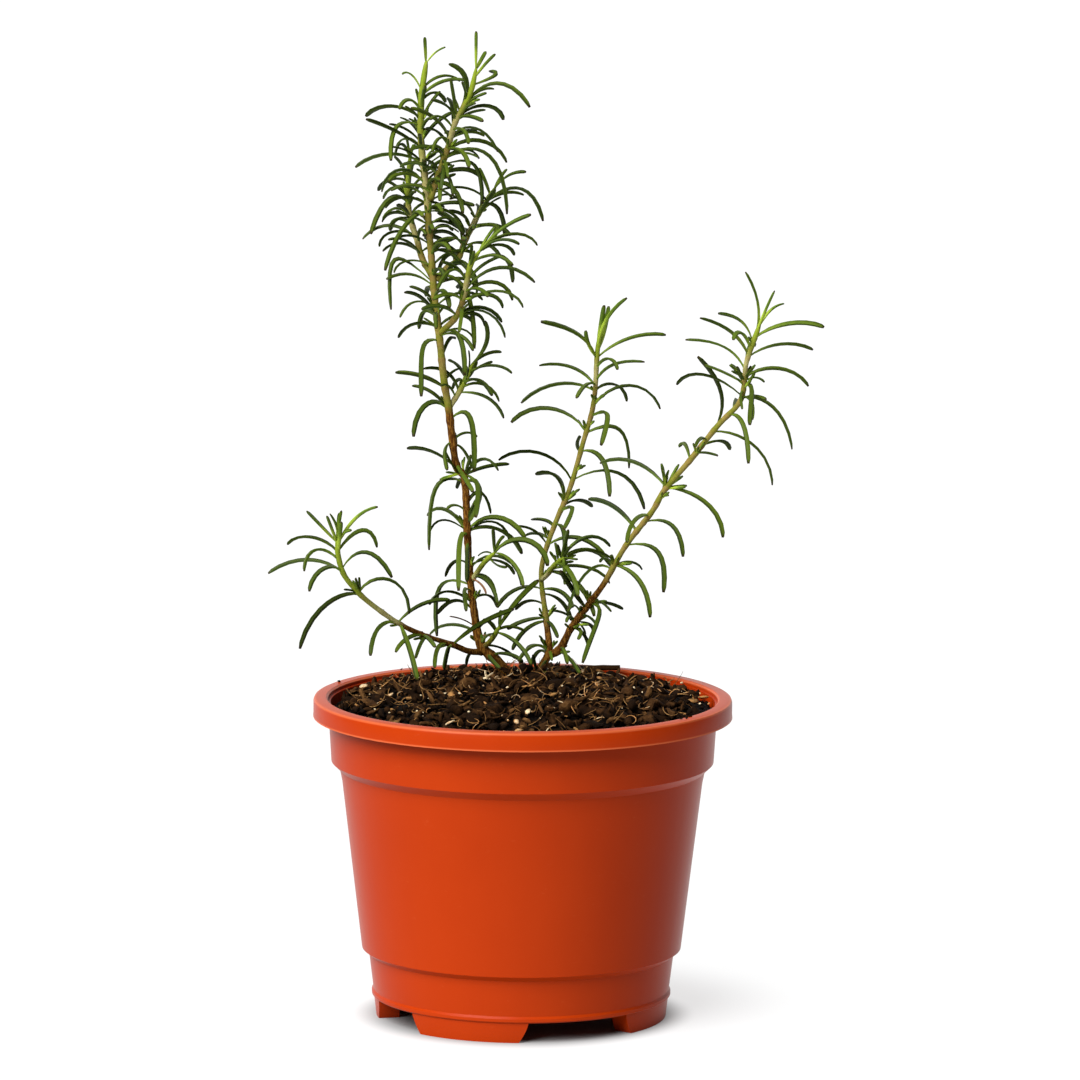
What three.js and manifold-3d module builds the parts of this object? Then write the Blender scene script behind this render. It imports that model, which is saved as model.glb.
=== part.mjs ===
// Potted rosemary plant: two rooted stems in a moulded plastic nursery pot filled with potting mix.
// Millimetres, +Z up. +X is to the right and +Y is away, as the plant is seen from its front.
import * as THREE from 'three';
import { mergeVertices } from 'three/addons/utils/BufferGeometryUtils.js';
import Module from 'manifold-3d';

const wasm = await Module();
wasm.setup();

// The pot
const POT_HEIGHT = 100;
const RIM_RADIUS = 65;
const POT_WALL = 1.2;
const FLOOR_UNDERSIDE = 6.4;
const FLOOR_THICKNESS = 1.6;
const POT_SEGMENTS = 36;
const FOOT_DEPTH = 6.5;
const FOOT_RADIUS = 45.2;
const FOOT_LEAN = 0.8;
const DRAIN_RADIUS = 2;
const DRAIN_CIRCLE = 30;

// The potting mix
const FIT_GAP = 0.3;
const MIX_EDGE = 96;
const MIX_SEGMENTS = 30;
const STEM_SOCKET = 72;

// The plant
const LEAF_WIDTH = 2.6;
const LEAF_DEPTH = 1.4;
const LONG_LEAF = 14;
const FULL_WIDTH_LEAF = 20;
const SHORT_LEAF_SHARE = 0.55;
const OLD_LEAF = 18;
const LEAF_SAMPLES = 11;
const STEM_SIDES = 5;
const STEM_STEP = 7;

// The room that a leaf's middle line keeps to the skin of what has grown before it on its own plant
// and on the other one, and to the potting mix. A leaf that lacks more than CROWDED isn't grown.
const OWN_ROOM = 0.9;
const OTHER_ROOM = 2.2;
const MIX_ROOM = 1.6;
const CROWDED = 1.3;
const LEAF_REACH = 1.0;
const CROWN_RAISED = 0.7;
const STEM_SAMPLE_STEP = 2.5;
const SEED = 11;

// The whole plant spreads further to the right than to the left, so the pot's axis lies off the
// middle of the footprint, which is the part's origin.
const POT_AXIS_X = -6.5;

const UP = new THREE.Vector3(0, 0, 1);
const RIGHT = new THREE.Vector3(1, 0, 0);

// A closed geometry as a solid that can be joined and cut.
function solidOf(geometry) {
  const bare = geometry.index ? geometry.clone() : geometry.toNonIndexed();
  bare.deleteAttribute('normal');
  bare.deleteAttribute('uv');
  const merged = mergeVertices(bare, 1e-4);
  const corners = merged.index.array;
  const place = merged.attributes.position.array;
  const kept = [];
  for (let i = 0; i < corners.length; i += 3) {
    const [a, b, c] = [corners[i], corners[i + 1], corners[i + 2]];
    if (a !== b && b !== c && c !== a) kept.push(a, b, c);
  }
  return new wasm.Manifold(new wasm.Mesh({
    numProp: 3,
    vertProperties: Float32Array.from(place),
    triVerts: Uint32Array.from(kept),
  }));
}

// The solid's one main body as a geometry, with sealed hollows filled and loose scraps dropped.
function geometryOf(solid) {
  const bodies = solid.decompose().sort((a, b) => b.volume() - a.volume());
  const { numProp, vertProperties, triVerts } = bodies[0].getMesh();
  const place = new Float32Array(vertProperties.length / numProp * 3);
  for (let i = 0; i < place.length / 3; i++) {
    for (let k = 0; k < 3; k++) place[3 * i + k] = vertProperties[numProp * i + k];
  }
  const geometry = new THREE.BufferGeometry();
  geometry.setAttribute('position', new THREE.BufferAttribute(place, 3));
  geometry.setIndex(Array.from(triVerts));
  geometry.computeVertexNormals();
  return geometry;
}

// A shape turned about the +Z axis from [radius, height] points.
function turned(outline, segments) {
  const points = outline.map(([radius, height]) => new THREE.Vector2(radius, height));
  return new THREE.LatheGeometry(points, segments).rotateX(Math.PI / 2);
}

// Pot: one injection moulding. The outline runs from the middle of the underside, out and up over
// the bead, the two stepped bands and the turned-down rim, then down the inside to the floor.
const outsideOfWall = {
  beadTop: [46.1, 8.4], lowerBandTop: [47.5, 19.7], lowerStep: [49.7, 21.4],
  wallTop: [56.0, 73.8], upperStep: [56.8, 77.7], bandFoot: [59.4, 80.2], bandTop: [60.2, 93],
};

function inset([radius, height], by) {
  return [radius - by, height];
}

const insideOfWall = [
  inset(outsideOfWall.bandTop, POT_WALL),
  inset(outsideOfWall.bandFoot, POT_WALL),
  inset(outsideOfWall.upperStep, POT_WALL),
  inset(outsideOfWall.wallTop, POT_WALL),
  inset(outsideOfWall.lowerStep, POT_WALL),
  inset(outsideOfWall.lowerBandTop, POT_WALL),
  [outsideOfWall.beadTop[0] - POT_WALL, FLOOR_UNDERSIDE + FLOOR_THICKNESS + 0.6],
];

function potShell() {
  const rimLip = 0.8;
  const skirtFoot = 94.2;
  const skirtRoom = 98.2;
  return turned([
    [0, FLOOR_UNDERSIDE], [46.2, FLOOR_UNDERSIDE], [46.6, 6.8], [46.6, 7.7],
    ...Object.values(outsideOfWall),
    [60.3, skirtRoom], [63.9, skirtRoom], [64.0, skirtFoot], [RIM_RADIUS + 0.2, skirtFoot],
    [RIM_RADIUS, skirtFoot + 1], [RIM_RADIUS, POT_HEIGHT - rimLip],
    [RIM_RADIUS - 0.25, POT_HEIGHT - 0.25], [RIM_RADIUS - rimLip, POT_HEIGHT],
    [61.0, POT_HEIGHT], [60.4, POT_HEIGHT - 0.4], [60.4, 98.4], [59.7, 98.4],
    ...insideOfWall,
    [44.3, FLOOR_UNDERSIDE + FLOOR_THICKNESS], [0, FLOOR_UNDERSIDE + FLOOR_THICKNESS],
  ], POT_SEGMENTS);
}

// A foot: a block bent round the pot's axis, drawn in at its two ends towards the ground.
function foot(fromDegrees, toDegrees) {
  const levels = [[0, 3.0], [0.6, 2.1], [2, 1.4], [FLOOR_UNDERSIDE + 0.5, 0]];
  const block = new THREE.BoxGeometry(1, 1, 1, 6, 1, levels.length - 1);
  const place = block.attributes.position;
  const middle = THREE.MathUtils.degToRad((fromDegrees + toDegrees) / 2);
  const halfTurn = THREE.MathUtils.degToRad((toDegrees - fromDegrees) / 2);
  for (let i = 0; i < place.count; i++) {
    const level = Math.round((place.getZ(i) + 0.5) * (levels.length - 1));
    const [height, drawnIn] = levels[level];
    const outer = FOOT_RADIUS + FOOT_LEAN * height / FLOOR_UNDERSIDE;
    const radius = outer - FOOT_DEPTH * (0.5 + place.getY(i));
    const turn = middle + 2 * place.getX(i) * (halfTurn - drawnIn / FOOT_RADIUS);
    place.setXYZ(i, radius * Math.sin(turn), -radius * Math.cos(turn), height);
  }
  return block;
}

function pot() {
  const feet = [[-47, 3], [45, 95], [137, 187], [-124, -74]];
  let body = solidOf(potShell());
  for (const [from, to] of feet) body = body.add(solidOf(foot(from, to)));
  for (const turn of [25, 115, 205, 295]) {
    const angle = THREE.MathUtils.degToRad(turn);
    const drain = new THREE.CylinderGeometry(DRAIN_RADIUS, DRAIN_RADIUS, 6, 12).rotateX(Math.PI / 2);
    drain.translate(DRAIN_CIRCLE * Math.sin(angle), -DRAIN_CIRCLE * Math.cos(angle), 7);
    body = body.subtract(solidOf(drain));
  }
  return geometryOf(body);
}

// Potting mix: it fills the pot to just under the rim and is heaped a little where the stems stand.
const heap = { x: -1, y: 18, rise: 1.2, spread: 13 };
const DOME_RISE = 6.2;
const DOME_RADIUS = 59;

function mixTop(x, y) {
  const inward = Math.max(0, 1 - (x * x + y * y) / DOME_RADIUS ** 2);
  const dome = DOME_RISE * inward ** 0.8;
  const off = (x - heap.x) ** 2 + (y - heap.y) ** 2;
  const heaped = heap.rise * Math.exp(-off / (2 * heap.spread ** 2));
  const lumps = 0.5 * Math.sin(0.61 * x + 1.3) * Math.sin(0.55 * y + 0.4)
    + 0.4 * Math.sin(0.37 * x - 0.83 * y);
  return MIX_EDGE + dome + heaped + lumps;
}

function mixBlock() {
  const side = insideOfWall.map((point) => inset(point, FIT_GAP)).reverse();
  const underside = FLOOR_UNDERSIDE + FLOOR_THICKNESS + FIT_GAP;
  side[0][1] += FIT_GAP;
  const edge = 58.7;
  const rings = [54, 47, 40, 33, 26, 19, 12, 6, 0];
  const block = turned([
    [0, underside], [43.8, underside], ...side, [edge, MIX_EDGE],
    ...rings.map((radius) => [radius, MIX_EDGE]),
  ], MIX_SEGMENTS);
  const place = block.attributes.position;
  for (let i = 0; i < place.count; i++) {
    if (place.getZ(i) > MIX_EDGE - 0.1) place.setZ(i, mixTop(place.getX(i), place.getY(i)));
  }
  return block;
}

function pottingMix(sockets) {
  const sides = 10;
  let body = solidOf(mixBlock());
  for (const { x, y, radius } of sockets) {
    const hole = (radius + FIT_GAP + 0.1) / Math.cos(Math.PI / sides);
    const depth = POT_HEIGHT + 10 - (STEM_SOCKET - FIT_GAP);
    const plug = new THREE.CylinderGeometry(hole, hole, depth, sides).rotateX(Math.PI / 2);
    plug.translate(x, y, STEM_SOCKET - FIT_GAP + depth / 2);
    body = body.subtract(solidOf(plug));
  }
  return geometryOf(body);
}

// Stems: the points that each one grows through, and its radius at even steps up it. A leaf
// is [place up the stem, then its tip's distance to the right, away and up from there, how high it
// arches over that line, and how far it bows to the right of it]. A spray is the stretch of stem
// from a place to the tip that bears its other leaves in regular pairs.
const tallPlant = {
  trunk: {
    route: [[-5, 18.5, 72], [-5, 18.5, 97], [-5, 18.5, 103.5], [-7.5, 18.4, 107.5],
      [-11.5, 18, 111], [-13, 18, 115], [-15.5, 17, 131], [-17, 16, 146.5], [-18.5, 14, 166],
      [-21.2, 14, 170.5], [-23.5, 12.5, 188], [-25, 12, 197], [-26.5, 12, 210.5],
      [-28, 12.5, 222.5], [-29.5, 13, 240], [-31, 15, 257.5], [-32.5, 16, 271],
      [-32.5, 17, 284.5], [-31, 18, 296]],
    radii: [2.2, 1.95, 1.25, 1.2, 1.2, 1.15, 1.05, 0.95, 0.7],
    leaves: [[43, -8, 5, -4, 2.5], [42, 2.5, -10.5, -2.5, 1], [44, 9.5, 7, -5, 1.5],
      [57, -12.5, 3.5, -1, 4], [60, -14.5, -6.5, 0.5, 4], [67, -11.5, 7.5, -17.5, 6.5],
      [65, -2.5, -15, -4, 3], [83, -3, -17, -15, 5.5], [61, 6.5, 9, -3.5, 2.5],
      [71, 15, -3, -3.5, 7], [73, -8.5, 10.5, -5, 3], [83, -13, 3, 5.5, 5],
      [84, -12.5, -3, -1.5, 4.5], [83, 12.5, 4, -2.5, 5], [84, 17.5, -3, -1.5, 7.5],
      [92, 7.5, 3, -2.5, 5.5], [100, -11, -3, -21, 7.5], [100, 3.5, -14.5, -9, 4],
      [105, -16.5, 7.5, 5.5, 0.5], [102, 14, 9, 2.5, 1], [121, 7.5, -3, -16, 8],
      [123, -11, -3, -7, 6.5], [131, -15.5, 6.5, 4, 0.5], [145, -4.5, -11, -16, 5.5],
      [124, -11.5, 8, 6.5, 2], [112, 3, 13, 3, 3], [137, 4, 12, 5, 3], [92, -3, 13, 1, 4],
      [100, 2, -3, -15, 1, 5.5], [70, 13, 6, -3.5, 3], [67, 7, -3, -6.5, 2.5, 1.5],
      [229, -0.5, 3, 8, 0.5], [229, 6, -3, 5.5, 1], [220, -6, -3.5, 6, 3],
      [221, 11.5, 6.5, 2, 3], [219, 14.5, -8, 5.5, 2.5], [217, 7.5, 6.5, -0.5, 3],
      [214, -6.5, -6.5, 1.5, 3.5], [213, -16.5, 3, -1, 5.5], [203, -17, -7, 9.5, 1],
      [198, -21, 3, -1.5, 3.5], [210, -9, -6, -10.5, 4.5, -3.5], [191, -13.5, -3, -1.5, 6],
      [187, -13.5, 5, -0.5, 4], [183, -13, -10.5, -17, 4.5], [161, -13, -3, -8, 11, -7],
      [155, -8, 7.5, 4, 1], [150, -10, -8, 9, 2.5], [175, 7, 7, 1.5, 3],
      [171, 7.5, -10.5, 5, 1.5], [170, 7.5, 6.5, -2, 2], [164, 13, -3, -23, 5, 5.5],
      [144, 10.5, 3, -1, 3], [144, 10.5, -9, -3, 3], [145, 8, -10, -11.5, 5.5, 2.5],
      [130, 5, 6, 3.5, 1], [202, -8, 6.5, 0, 3.5], [206, -6.5, 8, 5.5, 1.5]],
    sprays: [{ from: 147, spacing: 5.8, tip: 9 }],
  },
  lowLeftStem: {
    route: [[-13, 18, 111], [-17, 14, 112], [-22.5, 9, 115], [-31, 1.5, 119], [-39, -5, 124],
      [-48, -11, 131.5], [-52.5, -14, 136.5], [-55.5, -16, 141], [-57, -17.5, 146.5],
      [-57.5, -18.5, 152]],
    radii: [1.0, 0.8, 0.75, 0.7, 0.6],
    leaves: [[74, -9.5, 8, 8.5, 0], [74, 0.5, 7.5, 8, 0], [74, -3, -5, 9, 0],
      [73, 12.5, -3, 12.5, 3], [71, -15.5, 4, 1.5, 3.5], [71, 12, 3, 1, 7],
      [68, -10.5, -8.5, -2, 5], [67, -22, 3, -4, 5.5], [64, -10, -10, -4.5, 4],
      [65, 15.5, -3, -2, 8.5], [55, 15.5, 3, -7, 8], [54, -18.5, -3, -16.5, 5],
      [60, 3.5, 9.5, 3.5, 1], [43, -4, -14, -11.5, 2.5], [36, 5.5, -15.5, -15, 1],
      [37, 16, 4.5, 6.5, 2.5], [25, -9, -10.5, -3.5, 2], [24, -3.5, -11, -5, 1.5],
      [26, 4, -11, -2, 0.5], [15, -4, -11, -6, 2], [14, -2, 8.5, -9.5, 1],
      [13, 19, -4, 12, 1], [44, -3, 15, 2, 3], [27, -6, 14, 0, 3]],
    sprays: [],
  },
  lowShoot: {
    route: [[-12.5, 18, 112.5], [-10, 14, 115.5], [-7.5, 9, 120.5]],
    radii: [0.8, 0.7, 0.65, 0.6],
    leaves: [[12, 12.5, -4, 16, -0.5], [13, 0.5, 5, 4.5, 0], [11, 7, 9, -1, 1],
      [10, 11, -8, -9, 2], [9, -4, -7, -1.5, 1], [10, -4, 7, 3, 1]],
    sprays: [],
  },
  innerShoot: {
    route: [[-16, 17, 134], [-12.5, 12, 140], [-9, 8, 144]],
    radii: [0.8, 0.7, 0.65, 0.6],
    leaves: [],
    sprays: [{ from: 5, spacing: 3.2, tip: 10 }],
  },
  rightTwig: {
    route: [[-23.5, 12.5, 188.5], [-20, 15, 194], [-18, 17, 198], [-16, 19, 202]],
    radii: [0.8, 0.75, 0.7, 0.6],
    leaves: [[17, 3.5, -3, 13.5, 0.5, 2.5], [16, 9, 4.5, 3.5, 1.5], [13, 13.5, -4, 0.5, 2.5],
      [11, 3.5, 7, 4.5, -1], [9, 9, -8, -2.5, 3], [7, 12, 3, -4, 3.5], [4, -4.5, -6, 4.5, 2],
      [11, -5.5, 9, 4.5, 1.5]],
    sprays: [{ from: 6, spacing: 5.8, tip: 9 }],
  },
  frontBranch: {
    route: [[-26.5, 12, 212], [-21.5, 8, 217.5], [-19, 4, 224.5], [-17, 1, 234.5],
      [-14, -1, 239.5]],
    radii: [1.0, 0.9, 0.75, 0.6],
    leaves: [[33, 16, -3, 12, 2], [32, 18.5, 3, 2.5, 5], [32, 13, -3, 3.5, 3],
      [31, 12, 4, 0, 3.5], [28, 13, -6.5, 0.5, 3], [29, 12.5, 5.5, -7, 4.5, 3.5],
      [19, 21.5, -3, 3, 6], [17, 15, 3, -1.5, 5], [12, 19.5, -3, 1, 5.5], [8, 14.5, 3, -1.5, 4],
      [8, 15.5, -3, -5.5, 5], [33, 5, 3.5, 7.5, 0.5], [22, -9, -6, -2, 5],
      [25, -7, 7.5, -2, 3.5]],
    sprays: [{ from: 9, spacing: 5.8, tip: 9 }],
  },
  backBranch: {
    route: [[-27.5, 13, 228.5], [-24.5, 14.5, 232], [-21, 16.5, 234.5], [-19, 19, 239.5],
      [-16.5, 21.5, 244.5], [-13.5, 24, 250], [-9.5, 26, 256]],
    radii: [1.0, 0.9, 0.75, 0.6],
    leaves: [[35, 10, -3.5, 6, 2], [35, 4, 5, 6, 0.5], [33, -3.5, 8.5, 7.5, 0.5],
      [30, 12, 5.5, 2, 2], [31, 17.5, -3, -6, 6.5, 2.5], [22, 3, -11, -6.5, 2.5, 7.5],
      [17, -9, 9, 7, 1.5], [24, -8, -7, 7, 3], [27, 7.5, 3, -7.5, 5], [6, 8, -7.5, -5.5, 4]],
    sprays: [{ from: 8, spacing: 5.8, tip: 9 }],
  },
  leftLeader: {
    route: [[-29, 13, 230], [-32, 15, 235], [-33.5, 17, 240], [-35.5, 19, 246],
      [-36.5, 21, 251], [-36.5, 23, 258.5], [-36, 25, 266]],
    radii: [1.0, 0.9, 0.75, 0.6],
    leaves: [[24, -11.5, -3, -9, 6], [20, -8.5, 10, -2, 3], [20, -4, -7.5, 4.5, 1],
      [12, -17, 4, 0, 4.5], [7, -10, -9.5, 6, 2.5], [38, -4.5, -5.5, 1.5, 4.5],
      [37, 1.5, 6.5, 5, 1.5], [32, -4.5, 9, 6, 1], [31, -9.5, 11.5, -4, 2],
      [39, -1, -5, 6.5, 0]],
    sprays: [{ from: 8, spacing: 5.8, tip: 8 }],
  },
  rightLeader: {
    route: [[-29.5, 14, 253.5], [-27, 11.5, 261.5], [-24.5, 8.5, 269], [-22, 5.5, 278],
      [-19.5, 3.5, 283], [-17, 2, 288.5], [-15.5, 1, 295.5]],
    radii: [1.0, 0.9, 0.75, 0.6],
    leaves: [[46, 0, -3, 12, 0.5], [46, 3, 5.5, 5, 0], [43, 6.5, -3.5, 8, 0.5],
      [41, 5, 9, 3.5, 1, 4.5], [32, -4, 8, 13.5, 3, 3], [29, -2, -6.5, 12.5, 0],
      [33, 20.5, -3, 0.5, 7.5], [34, 9, 5, 4.5, 2], [28, 14.5, 3, 0, 4.5],
      [29, 8, -10, 0, 1], [22, 8, 7, 1.5, 1], [22, 14.5, -3, -4, 5], [17, 18.5, 3, -3.5, 5],
      [14, 11, -7.5, 1.5, 2], [16, 19, -3, -18, 8, 4.5], [12, 12.5, 3, -12, 5.5, 5],
      [25, -7, -7, 3.5, 2.5], [19, -7, 7.5, 4.5, 2]],
    sprays: [{ from: 8, spacing: 5.8, tip: 9 }],
  },
};

const forkedPlant = {
  middleStem: {
    route: [[4.5, 20, 72], [4.5, 20, 97], [4.5, 20, 103.5], [6.3, 20, 107], [8, 20, 110.5],
      [8, 20, 114], [7, 22, 122], [5.5, 24, 133.5], [6.5, 25, 141], [10, 27, 151],
      [14.5, 28, 162], [18.5, 28, 176.5], [21, 28, 185.5], [22, 27.5, 193], [22.5, 27, 204],
      [23.5, 26.5, 211]],
    radii: [1.9, 1.6, 1.3, 0.85, 0.82, 0.82, 0.8, 0.75, 0.6],
    leaves: [[141, 2, 10.5, 12, 0], [142, 8, -4.5, 13, 0], [141, 6, 8, 11.5, 1],
      [139, -18, -5.5, 10, 3], [139, -3, 7.5, 6, 0], [138, 21.5, 3, 5.5, 2.5],
      [134, 15.5, -9, 3, 2.5], [130, -17.5, 7.5, 3.5, 2], [126, -23, -3, -3.5, 4],
      [128, -6, -12.5, -2.5, 2], [126, 10, 10, -4.5, 3.5], [121, 21, 3, -1, 7],
      [116, -24, -3, 0, 5], [118, 3, -16, -7, 4.5], [112, 16, 3, -9, 7],
      [110, -2, -13.5, -3, 1], [100, -23, -3, 3, 5], [99, -11.5, 12.5, -2, 2.5],
      [106, 9.5, -9, -13, 5.5], [99, 20, 3, -10, 6.5], [92, 9, 10.5, -5, 1.5],
      [89, 1, -16.5, -5.5, 3.5], [82, -7.5, 10, 0, 1.5], [82, 3, -12.5, -9.5, 3],
      [77, 17.5, -4, -3.5, 3.5], [77, -8, 11, -1, 1.5], [63, 10, -10.5, -6, 3],
      [61, 9, 7.5, -10, 2], [56, -9, 9.5, -3, 2], [52, -12, -10, -2, 1],
      [51, -10.5, 8, -10.5, 2], [51, 3.5, -10.5, -3.5, 1], [54, 8.5, 9, -3.5, 1],
      [41, -9.5, -8, -1.5, 3.5], [40, -5.5, 8, -5, 3], [70, -14.5, -4, 0, 3],
      [77, -11, 3, 5, 1.5],
      [105, -5, 16, 3, 4], [119, 1, 17, 2, 4]],
    sprays: [],
  },
  innerShoot: {
    route: [[5.5, 24, 133], [7.5, 19, 135.5], [9, 15, 138.5], [12.5, 10, 142.5]],
    radii: [0.8, 0.7, 0.65, 0.6],
    leaves: [[15, 16.5, 3, -2, 4.5], [15, -4.5, 13, 8, 0.5], [16, 7.5, -10.5, 9.5, 0],
      [17, 2, -9, 10.5, 0], [13, 7, -13, -8, 3]],
    sprays: [],
  },
  rightStem: {
    route: [[8, 20, 110], [11.5, 18, 112], [14.5, 16, 118.5], [19, 12, 125.5], [25, 8.5, 134.5],
      [31.5, 3.5, 147], [39.5, -1.5, 158.5], [43.5, -4, 166], [51, -7.5, 175.5],
      [59.5, -11, 187], [66, -13.5, 194.5], [67.5, -14.5, 202], [68, -15.5, 207.5],
      [72, -16.5, 219.5]],
    radii: [1.3, 1.0, 0.85, 0.88, 0.88, 0.8, 0.6],
    leaves: [[130, -2.5, 5, 19, 1.5, 3], [131, 5.5, -3, 14, 0.5], [133, 8, 6, 7, 2],
      [129, 21.5, -5, 3, 3], [129, -10.5, 6.5, 7, 2.5], [125, -15, -3, 11, 1.5],
      [124, 20.5, 3.5, 1.5, 2.5], [118, -18.5, -3, 10, 2], [117, 19.5, 3, -3, 4],
      [111, -20, 3, 3, 5], [115, -12, 9.5, 4.5, 0.5], [98, -6, 10, 21, 0.5, 5.5],
      [115, 1.5, -13, -11, 3], [110, 16, -3, -15, 3.5], [105, 5.5, -10, -15, 0.5],
      [96, 18.5, 3, -17, 4], [90, 9, 9.5, -2.5, 2], [87, 6.5, -9, 0.5, 0.5],
      [72, -20.5, 3, 7, 4.5], [72, 17.5, -3, -15, 3], [61, -7, -13.5, -7, 1.5],
      [54, -15, 3, 9.5, 3], [60, 11, -8, -11, 2.5], [49, 11.5, 6, -16.5, 2.5],
      [40, 11, -9, -15, 2.5], [41, -15, -3, 2, 3], [25, 8, 9.5, -3.5, 0.5],
      [24, -2, -10.5, -17, 4], [22, -8, -11, 13.5, -0.5], [16, 5.5, 8, -5, 0.5],
      [14, 5, 8, -8.5, 1], [5, 2, -11, -3, 1.5], [4, 6.5, -8.5, -6, 1],
      [121, 3, 15, 4, 3], [106, -4, 16, 6, 2], [84, -3, 15, 2, 3], [66, 2, 15, 2, 3]],
    sprays: [],
  },
};

// A repeatable run of numbers from 0 to 1.
function draws(seed) {
  let state = seed;
  return () => {
    state = (1664525 * state + 1013904223) % 4294967296;
    return state / 4294967296;
  };
}

// A stem's centre line, measured along its length.
function centreLine({ route, radii }) {
  const points = route.map((point) => new THREE.Vector3(...point));
  const curve = new THREE.CatmullRomCurve3(points, false, 'catmullrom', 0.5);
  const line = [];
  const perSpan = 6;
  const spans = points.length - 1;
  for (let i = 0; i <= spans * perSpan; i++) line.push(curve.getPoint(i / (spans * perSpan)));
  const reach = [0];
  for (let i = 1; i < line.length; i++) reach.push(reach[i - 1] + line[i].distanceTo(line[i - 1]));
  const length = reach.at(-1);
  const spanAt = (place) => {
    let i = 0;
    while (i < line.length - 2 && reach[i + 1] < place) i++;
    return i;
  };
  return {
    length,
    point(place) {
      const i = spanAt(place);
      return line[i].clone().lerp(line[i + 1], (place - reach[i]) / (reach[i + 1] - reach[i]));
    },
    heading(place) {
      const i = spanAt(place);
      return line[i + 1].clone().sub(line[i]).normalize();
    },
    radius(place) {
      const along = Math.min(1, Math.max(0, place / length)) * (radii.length - 1);
      const i = Math.min(radii.length - 2, Math.floor(along));
      return radii[i] + (radii[i + 1] - radii[i]) * (along - i);
    },
  };
}

// A capped round bar, or a pointed one, bent on to a line: half its width and half its depth at
// each station, from 0 at the foot to 1 at the tip.
function bentBar(stations, sides, pointed, at) {
  const bar = new THREE.CylinderGeometry(pointed ? 0 : 1, 1, 1, sides, stations.length - 1);
  const place = bar.attributes.position;
  const spread = new THREE.Vector2();
  for (let i = 0; i < place.count; i++) {
    const station = Math.round((place.getY(i) + 0.5) * (stations.length - 1));
    const { centre, side, normal, width, depth } = at(stations[station]);
    spread.set(place.getX(i), place.getZ(i));
    if (spread.length() > 1e-6) spread.normalize();
    centre.addScaledVector(side, width * spread.x).addScaledVector(normal, depth * spread.y);
    place.setXYZ(i, centre.x, centre.y, centre.z);
  }
  return bar;
}

function stemBar(line) {
  const steps = Math.ceil(line.length / STEM_STEP);
  const stations = Array.from({ length: steps + 1 }, (_, i) => i / steps);
  return bentBar(stations, STEM_SIDES, false, (t) => {
    const place = t * line.length;
    const heading = line.heading(place);
    const side = RIGHT.clone().addScaledVector(heading, -heading.x).normalize();
    const radius = line.radius(place);
    const normal = side.clone().cross(heading);
    return { centre: line.point(place), side, normal, width: radius, depth: radius };
  });
}

// A leaf's middle line is a simple bend from its root on the stem, through a crown, to its tip.
function leafPoint({ root, crown, tip }, t) {
  const s = 1 - t;
  return root.clone().multiplyScalar(s * s).addScaledVector(crown, 2 * s * t)
    .addScaledVector(tip, t * t);
}

function leafHeading({ root, crown, tip }, t) {
  const start = crown.clone().sub(root);
  return start.lerp(tip.clone().sub(crown), t).normalize();
}

function leafLength({ root, crown, tip }) {
  return (root.distanceTo(crown) + crown.distanceTo(tip) + 2 * root.distanceTo(tip)) / 3;
}

// A rosemary leaf: a narrow three-sided blade, flat below and ridged above, with a blunt tip.
function leafBar(leaf) {
  const long = leafLength(leaf) > LONG_LEAF;
  const stations = long ? [0, 0.36, 0.72, 1] : [0, 0.55, 1];
  const swell = long ? [0.36, 1, 0.95, 0] : [0.36, 1, 0];
  const grownShare = Math.min(1, leafLength(leaf) / FULL_WIDTH_LEAF);
  const size = SHORT_LEAF_SHARE + (1 - SHORT_LEAF_SHARE) * grownShare;
  return bentBar(stations, 3, true, (t) => {
    const heading = leafHeading(leaf, t);
    const side = leaf.side.clone().addScaledVector(heading, -heading.dot(leaf.side)).normalize();
    const share = size * swell[stations.indexOf(t)];
    return {
      centre: leafPoint(leaf, t), side, normal: side.clone().cross(heading),
      width: share * LEAF_WIDTH / Math.sqrt(3), depth: share * LEAF_DEPTH / 1.5,
    };
  });
}

// A leaf that is listed by its tip.
function listedLeaf(line, [place, right, away, up, arch, bow = 0]) {
  const root = line.point(place);
  const tip = root.clone().add(new THREE.Vector3(right, away, up));
  const crown = root.clone().lerp(tip, 0.5).add(new THREE.Vector3(2 * bow, 0, 2 * arch));
  const out = new THREE.Vector3(right, away, 0).normalize();
  return { root, crown, tip, side: out.cross(UP) };
}

// How a spray's leaves leave the stem and bend over, in degrees, when they are old and young.
const oldHabit = { rise: 42, bend: 88 };
const youngHabit = { rise: 76, bend: 22 };
const play = { turn: 0.6, length: 4, rise: 22, bend: 36 };
const FIRST_TURN = 0.25;
const SPRAY_END = 0.6;
const LEG_SHARE = 0.53;

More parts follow.
